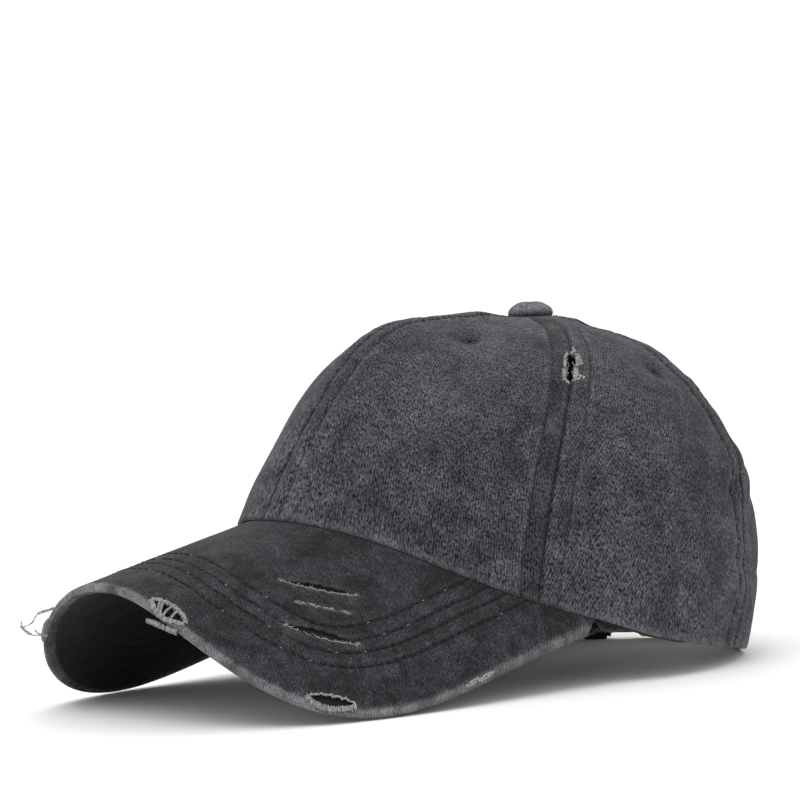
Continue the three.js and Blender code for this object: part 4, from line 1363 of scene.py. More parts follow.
class BrimCloth(bpy.types.Operator):
    """Top and bottom cloth of the brim, rolled round its edge, with slashes, tears and rubbed edges"""
    bl_idname = "cap.brim_cloth"
    bl_label = "Brim cloth"

    def execute(self, context):
        look = context.scene.cap_cloth
        angles = even_angles(BRIM_COLUMNS)
        even = np.linspace(0, 1, BRIM_COLUMNS)
        rows = np.linspace(0, 1, BRIM_ROWS_OUT + ROLL_ROWS + 1)
        outlines = []
        for slash in SLASHES:
            outline = slash_outline(slash)
            place = to_brim_square(outline[:, 0], outline[:, 1])
            across = np.interp(place[:, 0], angles, even)
            outlines.append(np.stack([across, place[:, 1] * FLAT_PART], axis=-1))
        for hole in EDGE_HOLES:
            outline = edge_hole_outline(hole)
            up = np.interp(-outline[:, 1], -EDGE_DEPTHS, EDGE_UPS)
            outlines.append(np.stack([np.interp(outline[:, 0], angles, even), up], axis=-1))
        spots, faces = cut_sheet(even, rows, outlines, (330, 88))
        self.cloth("brim_top", 1, spots, faces, angles, even, look, 42, 0.47)
        spots, faces = plain_sheet(even, rows)
        # The underside is the top's cloth at a third of its tone: painted shade under the brim.
        self.cloth("brim_under", -1, spots, [face[::-1] for face in faces], angles, even, look, 30, 0.15)
        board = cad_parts["brim_board"]
        board.data.materials.clear()
        board.data.materials.append(stiff_board())
        return {"FINISHED"}

    def cloth(self, name, side, spots, faces, angles, even, look, slant, tone):
        angle = np.interp(spots[:, 0], even, angles)
        share, inset, offset = brim_section(spots[:, 1], side)
        x, y, _ = brim_plan(angle, inset, share)
        middle = brim_point(angle, inset, share, 0 * offset)
        to_edge, _ = distance_to_path(middle, EDGE_LINE)
        relief = brim_relief(x, y, to_edge) * (1 if side > 0 else 0.5)
        rolled = spots[:, 1] > FLAT_PART
        relief = np.where(rolled, 0.5 * relief, relief) * eased(share, 0.0, 0.12)
        outer = brim_point(angle, inset, share, offset + side * relief)
        thin = offset - side * BRIM_CLOTH
        inner_offset = np.where(rolled, 0.45 * offset, thin) + side * relief
        inner = brim_point(angle, inset + np.where(rolled, 0.7, 0), share, inner_offset)
        spot = np.stack([x, y], axis=-1)
        uneven = 0.75 + 0.4 * soft_noise(spot, 7.0, 31) + 0.2 * soft_noise(spot, 2.2, 32)
        turn_in = 1 - eased(spots[:, 1], 0.955, 0.99)
        wear = np.where(rolled, 0.62 * turn_in, 0.62 * bump_at(np.maximum(to_edge - 0.9, 0), 1.2)) * uneven
        shade = np.where(rolled, 0.75 * (1 - turn_in), 0)
        if side > 0:
            for row in BRIM_ROWS:
                shade = shade + 0.72 * bump_at(to_edge - row, 0.62)
                wear = wear + 0.05 * bump_at(to_edge - row - 1.1, 0.7) * uneven
            for slash in SLASHES:
                ends = np.array([[slash[0], slash[1]], [slash[2], slash[3]]])
                distance, _ = distance_to_path(spot, ends)
                wear = wear + 0.10 * bump_at(distance - 0.9, 0.8)
            worn = np.array([WORN_LINE[:2], WORN_LINE[2:]])
            distance, _ = distance_to_path(spot, worn)
            wear = wear + 0.16 * bump_at(distance, 0.7) * uneven
        else:
            # Underneath: less wear, and 0.1 more of painted shade under the brim.
            wear = wear * 0.7
            shade = shade + 0.1
        material = washed_twill(name.replace("_", " "), look, slant, tone, mottle=1.6, coarse=0.6)
        beside = np.sqrt(np.maximum((BRIM_TOTAL / 2) ** 2 - offset ** 2, 0))
        roll = np.abs(np.arctan2(beside, offset * side))
        rolled_length = np.where(rolled, BRIM_TOTAL / 2 * roll - (BRIM_EDGE_LIP - inset), 0)
        edge = brim_edge(angle)
        way_out = unit(edge - np.stack(brim_plan(angle, np.full(len(angle), 4.0), 1)[:2], axis=-1))
        cloth = flat_brim(x, y) + way_out * rolled_length[:, None]
        cloth_piece(
            name + "_cloth", outer, inner, faces, cloth, np.clip(wear, 0, 1), material,
            name, (name,), np.clip(shade, 0, 0.85),
        )


def brim_rows():
    """Lines on the brim's top at set distances along the cloth from its edge, with their normals."""
    angles = even_angles(260)
    ways = np.linspace(0.02, 1, 70)
    angle, way = (part.ravel() for part in np.meshgrid(angles, ways, indexing="ij"))
    no_inset = np.zeros(len(angle))
    line = brim_point(angle, no_inset, way, no_inset)
    to_edge = distance_to_path(line, EDGE_LINE)[0].reshape(len(angles), len(ways))
    for distance in BRIM_ROWS:
        crosses = (to_edge[:, 0] > distance) & (to_edge[:, -1] < distance)
        way = np.array([np.interp(-distance, -row, ways) for row in to_edge[crosses]])
        none = np.zeros(len(way))
        x, y, _ = brim_plan(angles[crosses], none, way)
        relief = brim_relief(x, y, none + distance)
        yield brim_point(angles[crosses], none, way, BRIM_TOTAL / 2 + relief), brim_normal(x, y)


class BrimStitching(bpy.types.Operator):
    """Four rows of dark topstitching round the brim"""
    bl_idname = "cap.brim_stitching"
    bl_label = "Brim stitching"

    def execute(self, context):
        sizes = context.scene.cap_sewing
        bundle = Bundle()
        cuts = [slash_outline(slash) for slash in SLASHES]

        def over_cut(point):
            return any(inside(np.array([point[:2]]), cut)[0] for cut in cuts)

        for path, normals in brim_rows():
            sew(bundle, path + 0.12 * normals, normals, sizes, -0.2, over_cut, 0.13)
        material = thread_finish("brim thread", (0.004, 0.004, 0.005), (0.20, 0.20, 0.205))
        bundle.piece("brim_stitching", material, "brim_top")
        return {"FINISHED"}


# Swept pieces


def ring_faces(rings, sides, closed):
    """Faces of a body swept through rings of points, with flat ends when it isn't closed."""
    faces = []
    for row in range(rings if closed else rings - 1):
        here, there = row * sides, (row + 1) % rings * sides
        for k in range(sides):
            after = (k + 1) % sides
            faces.append((here + k, here + after, there + after, there + k))
    if not closed:
        faces.append(tuple(reversed(range(sides))))
        faces.append(tuple((rings - 1) * sides + k for k in range(sides)))
    return faces


def facing_out(points, faces):
    """The faces, turned over when they face into the body."""
    corners = points[np.array([face for face in faces if len(face) == 4])]
    turn = np.cross(corners[:, 1] - corners[:, 0], corners[:, 2] - corners[:, 0])
    volume = ((corners[:, 0] - points.mean(axis=0)) * turn).sum()
    return faces if volume > 0 else [tuple(reversed(face)) for face in faces]


def swept_piece(name, rings, closed, material, slot, replaces=(), **fields):
    """A closed body from rings of points; each field has one value for each of those points."""
    count, sides = rings.shape[:2]
    points = rings.reshape(-1, 3)
    faces = facing_out(points, ring_faces(count, sides, closed))
    flat = {key: values.reshape((count * sides,) + values.shape[2:]) for key, values in fields.items()}
    return add_piece(name, points, faces, material, slot, replaces, **flat)


def cloth_spread(along, across):
    along, across = np.broadcast_arrays(along, across)
    return np.stack([along, across, np.zeros_like(along)], axis=-1).astype(float)


# Bands round the back openings


# Folded tape in section: distance from the opening's edge and height over the crown's face
TAPE_SECTION = np.array([
    (0.75, -1.15), (0.35, -1.2), (0.05, -1.0), (-0.1, -0.3), (-0.1, 0.5), (0.1, 1.05), (0.6, 1.4),
    (1.6, 1.6), (3.0, 1.65), (4.6, 1.62), (5.8, 1.55), (6.3, 1.3), (6.65, 1.18), (7.0, 1.35),
    (7.5, 1.4), (7.9, 1.15), (8.05, 0.8), (7.9, 0.4), (6.0, 0.25), (3.0, 0.25), (1.0, 0.25), (0.9, -0.4),
])
TAPE_STITCH = 6.65
ARCH_STITCH = 1.6

# The arch's tape covers the other one out to this distance from the arch, and down to this height
ARCH_COVER = 7.3
COVER_FOOT = -12


def gather_wave(along, phase=0.0):
    return np.sin(2 * np.pi * along / 6.3 + 1.4 * np.sin(along / 9.0) + phase)


def gathered(outline, closed):
    """Where the tape is drawn together: at the top of the ponytail opening only."""
    return eased(outline[:, 1], 117, 125) * (1 if closed else 0)


def tape_height(side, up, across, along, gather, allowance):
    """How far the tape's cloth stands off its smooth shape."""
    azimuth, share = back_place(side, up)
    relief = cloth_height(azimuth, share, allowance) * 0.7
    spot = np.stack([along, across], axis=-1)
    relief = relief + 0.16 * soft_noise(spot, 5.0, 41) + 0.08 * soft_noise(spot, 2.0, 42)
    pucker = 0.10 * np.sin(2 * np.pi * along / 3.3) * bump_at(across - TAPE_STITCH, 1.3)
    wave = gather_wave(along, 1.2) * (1 - 0.6 * across / BINDING_WIDTH)
    return relief + pucker + 0.6 * gather * wave


def tape_rings(outline, closed, allowance):
    """Rings of points of the tape round an opening, with the place of each along and across the tape."""
    count = len(outline)
    along = path_lengths(outline)[:, None] + np.zeros(len(TAPE_SECTION))
    across = TAPE_SECTION[:, 0] + np.zeros((count, 1))
    out = TAPE_SECTION[:, 1] + np.zeros((count, 1))
    gather = gathered(outline, closed)[:, None] + np.zeros_like(across)
    shift = 0.8 * gather * gather_wave(along) * np.clip(1 - across / 6, 0, 1)
    columns = [widened(outline, distance, closed) for distance in (across + shift).T]
    flat = np.stack(columns, axis=1)
    lift = tape_height(flat[..., 0], flat[..., 1], across, along, gather, allowance)
    return flat, out + lift, along, across, out


class Bindings(bpy.types.Operator):
    """Folded tape round the ponytail opening and over the strap, with its stitching"""
    bl_idname = "cap.bindings"
    bl_label = "Bindings"

    def execute(self, context):
        look = context.scene.cap_cloth
        sizes = context.scene.cap_sewing
        arch = arch_outline(ARCH_FOOT)
        arch[:, 1] = np.maximum(arch[:, 1], ARCH_FOOT)
        teardrop = teardrop_outline(300)
        bundle = Bundle()
        for name, outline, closed, tone in (
            ("ponytail_binding", teardrop, True, 0.66), ("arch_binding", arch, False, 0.58),
        ):
            flat, lift, along, across, out = tape_rings(outline, closed, sizes.seam_allowance)
            if closed:
                flat = self.tucked_under(flat)
            rings = back_point(flat[..., 0], flat[..., 1], lift)
            spot = np.stack([along, across], axis=-1)
            uneven = np.clip(0.6 + 0.6 * soft_noise(spot, 6.0, 43), 0, 1)
            wear = 0.34 * bump_at(across - 0.2, 0.7) + 0.42 * bump_at(across - 7.6, 0.5)
            wear = wear + 0.16 * bump_at(across - 5.6, 0.6)
            shade = 0.45 * bump_at(across - TAPE_STITCH, 0.4) + 0.7 * (1 - eased(out, -0.9, 0.9))
            material = washed_twill(name.replace("_", " "), look, 45 if closed else 28, tone, coarse=0.7)
            swept_piece(
                name + "_tape", rings, closed, material, name, (name,),
                cloth=cloth_spread(along, across), wear=wear * uneven, shade=np.clip(shade, 0, 0.85),
            )
            for row in (TAPE_STITCH,) if closed else (ARCH_STITCH, TAPE_STITCH):
                self.stitch(bundle, outline, closed, row, sizes)
        material = thread_finish("binding thread", (0.010, 0.010, 0.012), (0.22, 0.22, 0.23))
        bundle.piece("binding_stitching", material, "arch_binding")
        return {"FINISHED"}

    def tucked_under(self, flat):
        """Draws the part of the tape that the arch's tape covers back to that tape's edge."""
        cover = widened(arch_outline(COVER_FOOT), ARCH_COVER, False)
        spots = flat.reshape(-1, 2)
        covered = inside(spots, cover)
        _, place = distance_to_path(spots, cover)
        spans = np.arange(len(cover)) / (len(cover) - 1)
        nearest = np.stack([np.interp(place, spans, cover[:, k]) for k in (0, 1)], axis=-1)
        return np.where(covered[:, None], nearest, spots).reshape(flat.shape)

    def stitch(self, bundle, outline, closed, row, sizes):
        line = widened(outline, row, closed)
        along = path_lengths(outline)
        across = np.full(len(line), row)
        gather = gathered(outline, closed)
        lift = tape_height(line[:, 0], line[:, 1], across, along, gather, sizes.seam_allowance)
        out = np.interp(row, TAPE_SECTION[4:17, 0], TAPE_SECTION[4:17, 1]) + 0.05
        kept = np.ones(len(line), bool)
        if closed:
            kept = ~inside(line, widened(arch_outline(COVER_FOOT), BINDING_WIDTH + 0.4, False))
        path = back_point(line[:, 0], line[:, 1], out + lift)
        azimuth, share = back_place(line[:, 0], line[:, 1])
        sew(bundle, path[kept], crown_normal(azimuth, share)[kept], sizes, 0.15, pale=0.12)


# Strap, tab and buckle


# Strap: its stitching's distance from an edge, its crease by distance to the side and height, the side
# distance of the dip in its upper edge, how far its stitches stand out, and steps across its face
STRAP_STITCH = 2.6
STRAP_CREASE = ((14.0, 16.0), (20.5, 9.8), (27.5, 3.2))
STRAP_DIP = 20.0
STITCH_OUT = 0.68
FACE_STEPS = 36


def strap_face():
    """Closed outline across the strap: height as a share of its width, and distance from its middle."""
    share = edge_packed(FACE_STEPS + 1, 0.85)
    to_edge = np.minimum(share, 1 - share) * STRAP_WIDTH
    half = STRAP_THICKNESS / 2
    thick = half * np.sqrt(1 - (1 - np.minimum(to_edge / half, 1)) ** 2)
    thick = thick + 0.34 * bump_at(to_edge - 0.95, 0.6) - 0.10 * bump_at(to_edge - STRAP_STITCH, 0.5)
    heights = np.concatenate([share, share[-2:0:-1]])
    return heights, np.concatenate([thick, -thick[-2:0:-1]])


def strap_relief(side, up):
    """Ripples and creases of the strap, outwards."""
    spot = np.stack([side, up], axis=-1)
    middle = bump_at(up - STRAP_WIDTH / 2, 7.5)
    relief = 0.32 * np.sin(2 * np.pi * side / 9.5 + 0.9 + 0.04 * up) * middle
    relief = relief + 0.20 * soft_noise(spot, 6.0, 51) + 0.07 * soft_noise(spot, 2.2, 52)
    distance, _ = distance_to_path(spot, np.array(STRAP_CREASE))
    return relief - 1.35 * bump_at(distance, 1.4) + 0.5 * bump_at(distance - 3.2, 1.7)


def strap_dip(side, share):
    """How far the strap sags beside its crease, at a share of its width."""
    return 1.3 * bump_at(side - STRAP_DIP, 3.4) * eased(share, 0.45, 1)


class Strap(bpy.types.Operator):
    """Strap with rolled edges through the buckle, and the short tab that holds the buckle"""
    bl_idname = "cap.strap"
    bl_label = "Strap"

    def execute(self, context):
        look = context.scene.cap_cloth
        sizes = context.scene.cap_sewing
        bundle = Bundle()
        path = spline(STRAP_PATH, 190)
        tab = np.stack([np.linspace(-TAB_ENDS[0], -TAB_ENDS[1], 50), np.full(50, TAB_DEPTH)], axis=-1)
        for name, line, tone in (("strap", path, 0.95), ("strap_tab", tab, 0.7)):
            heights, out = strap_face()
            side = line[:, :1] + 0 * heights
            up = STRAP_WIDTH * heights + 0 * side
            along = path_lengths(line)[:, None] + 0 * heights
            relief = strap_relief(side, up) if name == "strap" else 0.5 * strap_relief(side + 60, up)
            height = STRAP_BOTTOM + up - strap_dip(side, heights)
            rings = back_point(side, height, out - line[:, 1:] + relief)
            to_edge = np.minimum(heights, 1 - heights) * STRAP_WIDTH + 0 * side
            wear = 1.0 * bump_at(to_edge - 0.6, 0.85) + 0.30 * np.clip(relief, 0, 0.6)
            shade = 0.4 * bump_at(to_edge - STRAP_STITCH, 0.35) + 0.5 * np.clip(-relief - 0.3, 0, 0.8)
            shade = shade + 0.45 * bump_at(to_edge - 1.75, 0.35)
            swept_piece(
                name + "_cloth", rings, False,
                washed_twill(name.replace("_", " "), look, -58, tone, rib_pitch=0.8),
                name, (name,), cloth=cloth_spread(along, up), wear=np.clip(wear, 0, 1),
                shade=np.clip(shade, 0, 0.8),
            )
            for height in (STRAP_STITCH, STRAP_WIDTH - STRAP_STITCH):
                row = np.full(len(line), height)
                lift = strap_relief(line[:, 0], row) if name == "strap" else 0 * row
                dip = strap_dip(line[:, 0], height / STRAP_WIDTH)
                spots = back_point(line[:, 0], STRAP_BOTTOM + row - dip, STITCH_OUT - line[:, 1] + lift)
                azimuth, share = back_place(line[:, 0], STRAP_BOTTOM + row)
                sew(bundle, spots, crown_normal(azimuth, share), sizes, 0.15, pale=0.3)
        material = thread_finish("strap thread", (0.010, 0.010, 0.012), (0.42, 0.42, 0.42))
        bundle.piece("strap_stitching", material, "strap")
        return {"FINISHED"}


class Buckle(bpy.types.Operator):
    """Brass wire frame with its toothed clamp lever"""
    bl_idname = "cap.buckle"
    bl_label = "Buckle"

    def execute(self, context):
        look = context.scene.cap_metal
        metal = brass(look)
        self.frame(look, metal)
        self.lever(look, metal)
        return {"FINISHED"}

    def frame(self, look, metal):
        half_across, half_up = BUCKLE_WIDTH / 2, BUCKLE_HEIGHT / 2
        turn = np.linspace(0, 90, 9)
        path = []
        for across, up, start in ((1, 1, 0), (-1, 1, 90), (-1, -1, 180), (1, -1, 270)):
            angle = np.radians(start + turn)
            corner = np.stack([
                across * (half_across - BUCKLE_CORNER) + BUCKLE_CORNER * np.cos(angle),
                up * (half_up - BUCKLE_CORNER) + BUCKLE_CORNER * np.sin(angle),
            ], axis=-1)
            path.append(corner)
        loop = np.vstack([*path, path[0][:1]])
        path = resampled(loop, 0.7)[:-1]
        wire_sides = 14
        rings = []
        for angle in 2 * np.pi * np.arange(wire_sides) / wire_sides:
            line = widened(path, look.wire / 2 * math.cos(angle), True)
            out = np.full(len(line), look.wire / 2 * math.sin(angle))
            up = BUCKLE_BOTTOM + half_up + line[:, 1]
            rings.append(back_point(line[:, 0] - BUCKLE_SIDE, up, out))
        swept_piece("buckle_wire", np.stack(rings, axis=1), True, metal, "buckle_frame", ("buckle_frame",))

    def lever(self, look, metal):
        start = -BUCKLE_SIDE - BUCKLE_WIDTH / 2 - look.wire / 2 - GAP
        low = BUCKLE_BOTTOM + (BUCKLE_HEIGHT - LEVER_HEIGHT) / 2
        corner = 0.8
        centre_x = -LEVER_WIDTH + corner
        arcs = []
        for centre_y, first in ((corner, 180), (LEVER_HEIGHT - corner, 90)):
            angle = np.radians(first + np.linspace(0, 90, 5))
            arc = np.stack([centre_x + corner * np.cos(angle), centre_y + corner * np.sin(angle)], axis=-1)
            arcs.append(arc[::-1])
        steps = np.linspace(0, 1, 4 * look.teeth + 1)[1:-1]
        tooth = LEVER_TOOTH * np.clip(0.5 - 0.9 * np.cos(2 * np.pi * look.teeth * steps), 0, 1)
        toothed = np.stack([tooth, LEVER_HEIGHT * (1 - steps)], axis=-1)
        outline = np.vstack([*arcs, toothed])
        after = np.roll(outline, -1, axis=0)
        area = np.sum(outline[:, 0] * after[:, 1] - after[:, 0] * outline[:, 1])
        outward = 1 if area > 0 else -1
        rings = []
        for inset, out in ((0.22, 0), (0.0, 0.2), (0.0, 0.75), (0.12, 0.93), (0.3, 1.0)):
            line = widened(outline, -outward * inset, True)
            out = np.full(len(line), LEVER_STAND_OFF + out)
            rings.append(back_point(start + line[:, 0], low + line[:, 1], out))
        swept_piece("buckle_clamp", np.stack(rings), False, metal, "buckle_lever", ("buckle_lever",))


# Sweatband, button and eyelets


def sweatband_point(azimuth, up, inward):
    """Face of the sweatband; up runs from 0 at its lower edge to 1."""
    foot = rim_point(azimuth, inward + 0.15)
    steepness = brim_slopes(foot[..., 0], foot[..., 1])[2]
    below = (BRIM_TOTAL + GAP) * steepness + SWEATBAND_BELOW
    beside = np.clip((turned(azimuth) - BRIM_END_AZIMUTH - 3) / 4, 0, 1)
    behind = np.clip((turned(azimuth) - BRIM_END_AZIMUTH - 22) / 8, 0, 1)
    hanging = np.minimum(below, SWEATBAND_DROP) * (1 - beside)
    foot[..., 2] += behind - hanging - SWEATBAND_SHOWN * beside * (1 - behind)
    climb = 2 + (SWEATBAND_HEIGHT - 2) * np.clip((up * 3 - 1) / 2, 0, 1)
    wall = crown_point(azimuth, climb / (3 * meridian("rise", azimuth) * CROWN_HEIGHT), -inward)
    share = np.clip(3 * up, 0, 1)[..., None]
    return foot + (wall - foot) * share


class InnerParts(bpy.types.Operator):
    """Sweatband with its stitched edge, the cloth-covered top button, and the eyelets' stitches"""
    bl_idname = "cap.inner_parts"
    bl_label = "Sweatband, button and eyelets"

    def execute(self, context):
        look = context.scene.cap_cloth
        self.sweatband(look)
        self.button(look)
        self.eyelets(context.scene.cap_sewing)
        return {"FINISHED"}

    def sweatband(self, look):
        spots, faces = plain_sheet(np.linspace(0, 1, 221), np.linspace(0, 1, 22))
        azimuth = SWEATBAND_END * (2 * spots[:, 0] - 1)
        up = spots[:, 1]
        spot = np.stack([azimuth * 1.5, up * SWEATBAND_HEIGHT], axis=-1)
        past_stitch = up * SWEATBAND_HEIGHT - SWEATBAND_STITCH
        swell = 0.12 * soft_noise(spot, 7.0, 61) - 0.18 * bump_at(past_stitch, 0.7)
        first = WALL + SWEATBAND_GAP
        outer = sweatband_point(azimuth, up, np.full(len(up), first))
        inner = sweatband_point(azimuth, up, first + SWEATBAND_THICKNESS + swell)
        wear = 0.25 * bump_at(up, 0.04)
        shade = 0.5 * bump_at(past_stitch, 0.5)
        cloth_piece(
            "sweatband_cloth", outer, inner, faces, spot, wear,
            washed_twill("sweatband", look, 40, 0.3), "sweatband", ("sweatband",), shade,
        )

    def button(self, look):
        profile = np.array([
            (0, 1), (0.25, 0.995), (0.5, 0.97), (0.74, 0.89), (0.91, 0.74), (0.99, 0.5), (0.99, 0.3),
            (0.93, 0.1), (0.84, 0.0), (0.4, 0.0),
        ])
        line = spline(profile * (BUTTON_DIAMETER / 2, BUTTON_HEIGHT), 40)[1:]
        line = np.vstack([line, (BUTTON_SHANK_RADIUS, 0.0), (BUTTON_SHANK_RADIUS, -BUTTON_SHANK)])
        length = path_lengths(np.vstack([(0, BUTTON_HEIGHT), line]))[1:]
        sides = 96
        angle = 2 * np.pi * np.arange(sides) / sides
        radius, height, length = (part[:, None] + 0 * angle for part in (line[:, 0], line[:, 1], length))
        angle = angle + 0 * radius
        spot = np.stack([radius * np.cos(angle), radius * np.sin(angle), height], axis=-1)
        worked = eased(height, -0.2, 0.6)
        relief = (0.22 * soft_noise(spot, 4.2, 71) + 0.07 * soft_noise(spot, 1.4, 72)) * worked
        pleat = 0.10 * np.sin(11 * angle + 1.5 * np.sin(3 * angle)) * bump_at(height - 1.2, 1.3) * worked
        radius = radius + (relief + pleat) * eased(radius, 1.9, 6)
        height = height + relief * (radius < 7) - BUTTON_SINK - BUTTON_DROOP * eased(radius, 3.0, 8.2)
        rings = np.stack([
            radius * np.cos(angle),
            radius * np.sin(angle) + CREST_BACK * TOP_SHARE ** 2 + BUTTON_BACK,
            height + CROWN_HEIGHT + 2 * GAP,
        ], axis=-1)
        cloth = np.stack([length * np.cos(angle), length * np.sin(angle), 0 * length], axis=-1)
        wear = 0.16 + 0.3 * bump_at(length - 7.6, 1.6) + 0.5 * np.clip(relief, 0, 0.3)
        shade = 0.75 * (1 - eased(height, -0.8, 2.0))
        swept_piece(
            "top_button_cover", rings, False, washed_twill("top button", look, 32, 2.0),
            "top_button", ("top_button",), cloth=cloth, wear=wear, shade=shade,
        )

    def eyelets(self, sizes):
        """Buttonhole stitches all round each eyelet."""
        bundle = Bundle()
        radii = np.array([1.45, 1.75, 2.4, 3.1, 3.6])
        lifts = np.array([-0.8, 0.12, 0.34, 0.16, -0.25])
        for centre, centre_share in EYELETS:
            across, up = patch_scale(centre, centre_share)
            for side in (1, -1):
                for number in range(EYELET_STITCHES):
                    turn = 2 * np.pi * number / EYELET_STITCHES + 0.05 * math.sin(5.0 * number)
                    azimuth = side * (centre + radii * math.cos(turn) / across)
                    share = centre_share + radii * math.sin(turn) / up
                    lift = cloth_height(azimuth, share, sizes.seam_allowance) + lifts
                    tone = 0.4 + 0.35 * math.sin(7.3 * number)
                    bundle.add(*tube_parts(crown_point(azimuth, share, lift), 0.21, 6), tone)
        material = thread_finish("eyelet thread", (0.012, 0.012, 0.014), (0.06, 0.06, 0.065))
        bundle.piece("eyelets", material, "front_panel_left")


# Frayed places


def on_brim(x, y, lift):
    """Points over the brim's top cloth at plan places, and the way out of the cloth."""
    angle, share = to_brim_square(x, y).T
    inset = np.full(len(angle), BRIM_EDGE_LIP)
    middle = brim_point(angle, inset, share, 0 * share)
    to_edge, _ = distance_to_path(middle, EDGE_LINE)
    point = brim_point(angle, inset, share, BRIM_TOTAL / 2 + brim_relief(x, y, to_edge) + lift)
    return point, brim_normal(x, y)


def on_edge(angle, depth, lift):
    """Points over the brim's rolled edge at distances in from it, and the way out of the cloth."""
    up = np.interp(-np.asarray(depth, float), -EDGE_DEPTHS, EDGE_UPS)
    share, inset, offset = brim_section(up, 1)
    point = brim_point(angle, inset, share, offset)
    core = brim_point(angle, np.maximum(inset, BRIM_TOTAL / 2) + 0.2, share, 0 * offset)
    outward = unit(point - core)
    return point + outward * np.asarray(lift)[..., None], outward


def on_seam(across, along, lift, allowance):
    """Points over the crown by the left front seam, measured from the worn hole's centre."""
    rise = patch_scale(front_seam(SEAM_HOLE_SHARE), SEAM_HOLE_SHARE)[1]
    share = SEAM_HOLE_SHARE + np.asarray(along, float) / rise
    azimuth = front_seam(share) + np.asarray(across, float) / degree_length(front_seam(share), share)
    height = cloth_height(azimuth, share, allowance)
    return crown_point(azimuth, share, height + lift), crown_normal(azimuth, share)


def fluffy_cord(bundle, path, normals, radius, strand, random, spacing=0.3):
    """A soft border of short strands looped over a path."""
    joined = resampled(np.hstack([path, normals]), spacing)
    if len(joined) < 2:
        return
    marks = joined[:, :3]
    ups = unit(joined[:, 3:])
    along = unit(np.gradient(marks, axis=0))
    sides = unit(np.cross(along, ups))
    for k in range(len(marks)):
        size = radius * random.uniform(0.7, 1.2)
        turn = np.linspace(-0.12, 1.12, 7) * np.pi + random.uniform(-0.25, 0.25)
        slant = random.uniform(-0.9, 0.9) * radius * np.linspace(-0.5, 0.5, 7)
        line = (
            marks[k] + sides[k] * (np.cos(turn) * size)[:, None]
            + ups[k] * (np.sin(turn) * size * 0.8)[:, None] + along[k] * slant[:, None]
        )
        bundle.strand(line, strand * random.uniform(0.8, 1.2), random.uniform(0.1, 1.1), 6)


def wavy_strand(bundle, path, normals, strand, random, sway=0.18, rise=0.12):
    """One strand lying along a path, swaying sideways and up."""
    joined = resampled(np.hstack([path, normals]), 0.45)
    if len(joined) < 3:
        return
    marks = joined[:, :3]
    ups = unit(joined[:, 3:])
    sides = unit(np.cross(np.gradient(marks, axis=0), ups))
    count = len(marks)
    aside = sway * np.sin(np.arange(count) * random.uniform(0.9, 1.6) + random.uniform(0, 6))
    above = rise * (0.6 + np.sin(np.arange(count) * random.uniform(0.7, 1.3) + random.uniform(0, 6)))
    bundle.strand(marks + sides * aside[:, None] + ups * above[:, None], strand, random.uniform(0.3, 0.9))


def loose_ends(bundle, path, normals, length, strand, random, spacing):
    """Short strands standing off a path in all directions."""
    joined = resampled(np.hstack([path, normals]), spacing)
    marks = joined[:, :3]
    ups = unit(joined[:, 3:])
    along = unit(np.gradient(marks, axis=0)) if len(marks) > 1 else ups
    sides = unit(np.cross(along, ups))
    for k in range(len(marks)):
        reach = length * random.uniform(0.4, 1.2)
        heading = unit(sides[k] * random.normal() + along[k] * 0.8 * random.normal() + ups[k] * 0.35)
        bend = unit(along[k] * random.normal() + ups[k] * random.uniform(-0.2, 0.8))
        steps = np.linspace(0, 1, 5)[:, None]
        line = marks[k] + heading * reach * steps + bend * reach * 0.45 * steps ** 2
        bundle.strand(line, strand * 0.75, random.uniform(0.4, 1.0), 5)


# Worn seam hole: paths of its fluffy borders (across, along) with their radii
HOLE_CORDS = (
    (0.42, ((-1.7, 7.0), (-2.4, 4.6), (-2.5, 1.6), (-2.4, -1.6))),
    (0.62, ((-2.6, -2.6), (-2.6, -5.0), (-2.2, -8.0))),
    (0.45, ((-1.6, -8.4), (-0.6, -8.6))),
    (0.60, ((1.2, 6.9), (2.3, 5.6), (2.9, 3.0), (2.6, 0.6))),
    (0.50, ((1.6, 5.2), (1.9, 2.6), (1.7, 0.0))),
    (0.45, ((1.4, -0.6), (1.2, -3.0), (1.0, -6.0))),
    (0.40, ((1.8, -2.6), (1.9, -4.2), (1.4, -5.6))),
    (0.42, ((2.0, -4.6), (3.2, -5.0), (4.4, -5.6))),
    (0.36, ((0.4, -7.0), (1.8, -6.6), (3.0, -6.0))),
    (0.55, ((-0.4, 8.2), (0.4, 9.2), (1.2, 9.6))),
    (0.25, ((0.6, 11.0), (0.9, 12.2))),
)

# Edge openings: radius of the inner and the outer border, and how far the outer one lies past its lip
EDGE_BORDERS = ((0.72, 0.80, 0.2), (0.28, 1.1, 0.33), (0.10, 0.36, 1.1), (0.10, 0.36, 1.1), (0.7, 1.1, 0.3))

# Strands along the worn line: lift of the start, middle and end
WORN_LIFTS = np.array([-0.1, 0.18, -0.05])

# Threads across the left tear: place of both ends along it
TEAR_THREADS = ((0.12, 0.34), (0.20, 0.42), (0.46, 0.50), (0.64, 0.70))

# Loose threads off the brim's far edge: where they start, which way right and up in the picture are, and
# steps to the right and up in millimetres
LOOSE_ANGLE = -17
PICTURE_RIGHT_FALL = -0.057
PICTURE_UP = (0.022, 0.055, 0.998)
LOOSE_THREADS = (
    ((1.2, 3.0), (-0.4, 2.3), (-2.4, 1.8), (-4.1, 0.9), (-5.2, -0.9), (-7.0, -2.7), (-9.1, -3.6)),
    ((1.0, 2.4), (-0.6, 1.8), (-2.2, 1.3), (-4.3, 0.5)),
    (
        (-9.6, -1.6), (-9.5, -2.7), (-9.1, -3.6), (-8.4, -4.8), (-7.0, -5.9), (-5.2, -6.25), (-3.4, -6.4),
        (-1.2, -6.7),
    ),
    ((-10.0, -3.6), (-8.9, -3.3), (-7.6, -5.1), (-6.2, -6.0)),
    ((-4.9, -4.5), (-4.1, -5.4), (-2.8, -6.0), (-1.0, -6.4)),
)


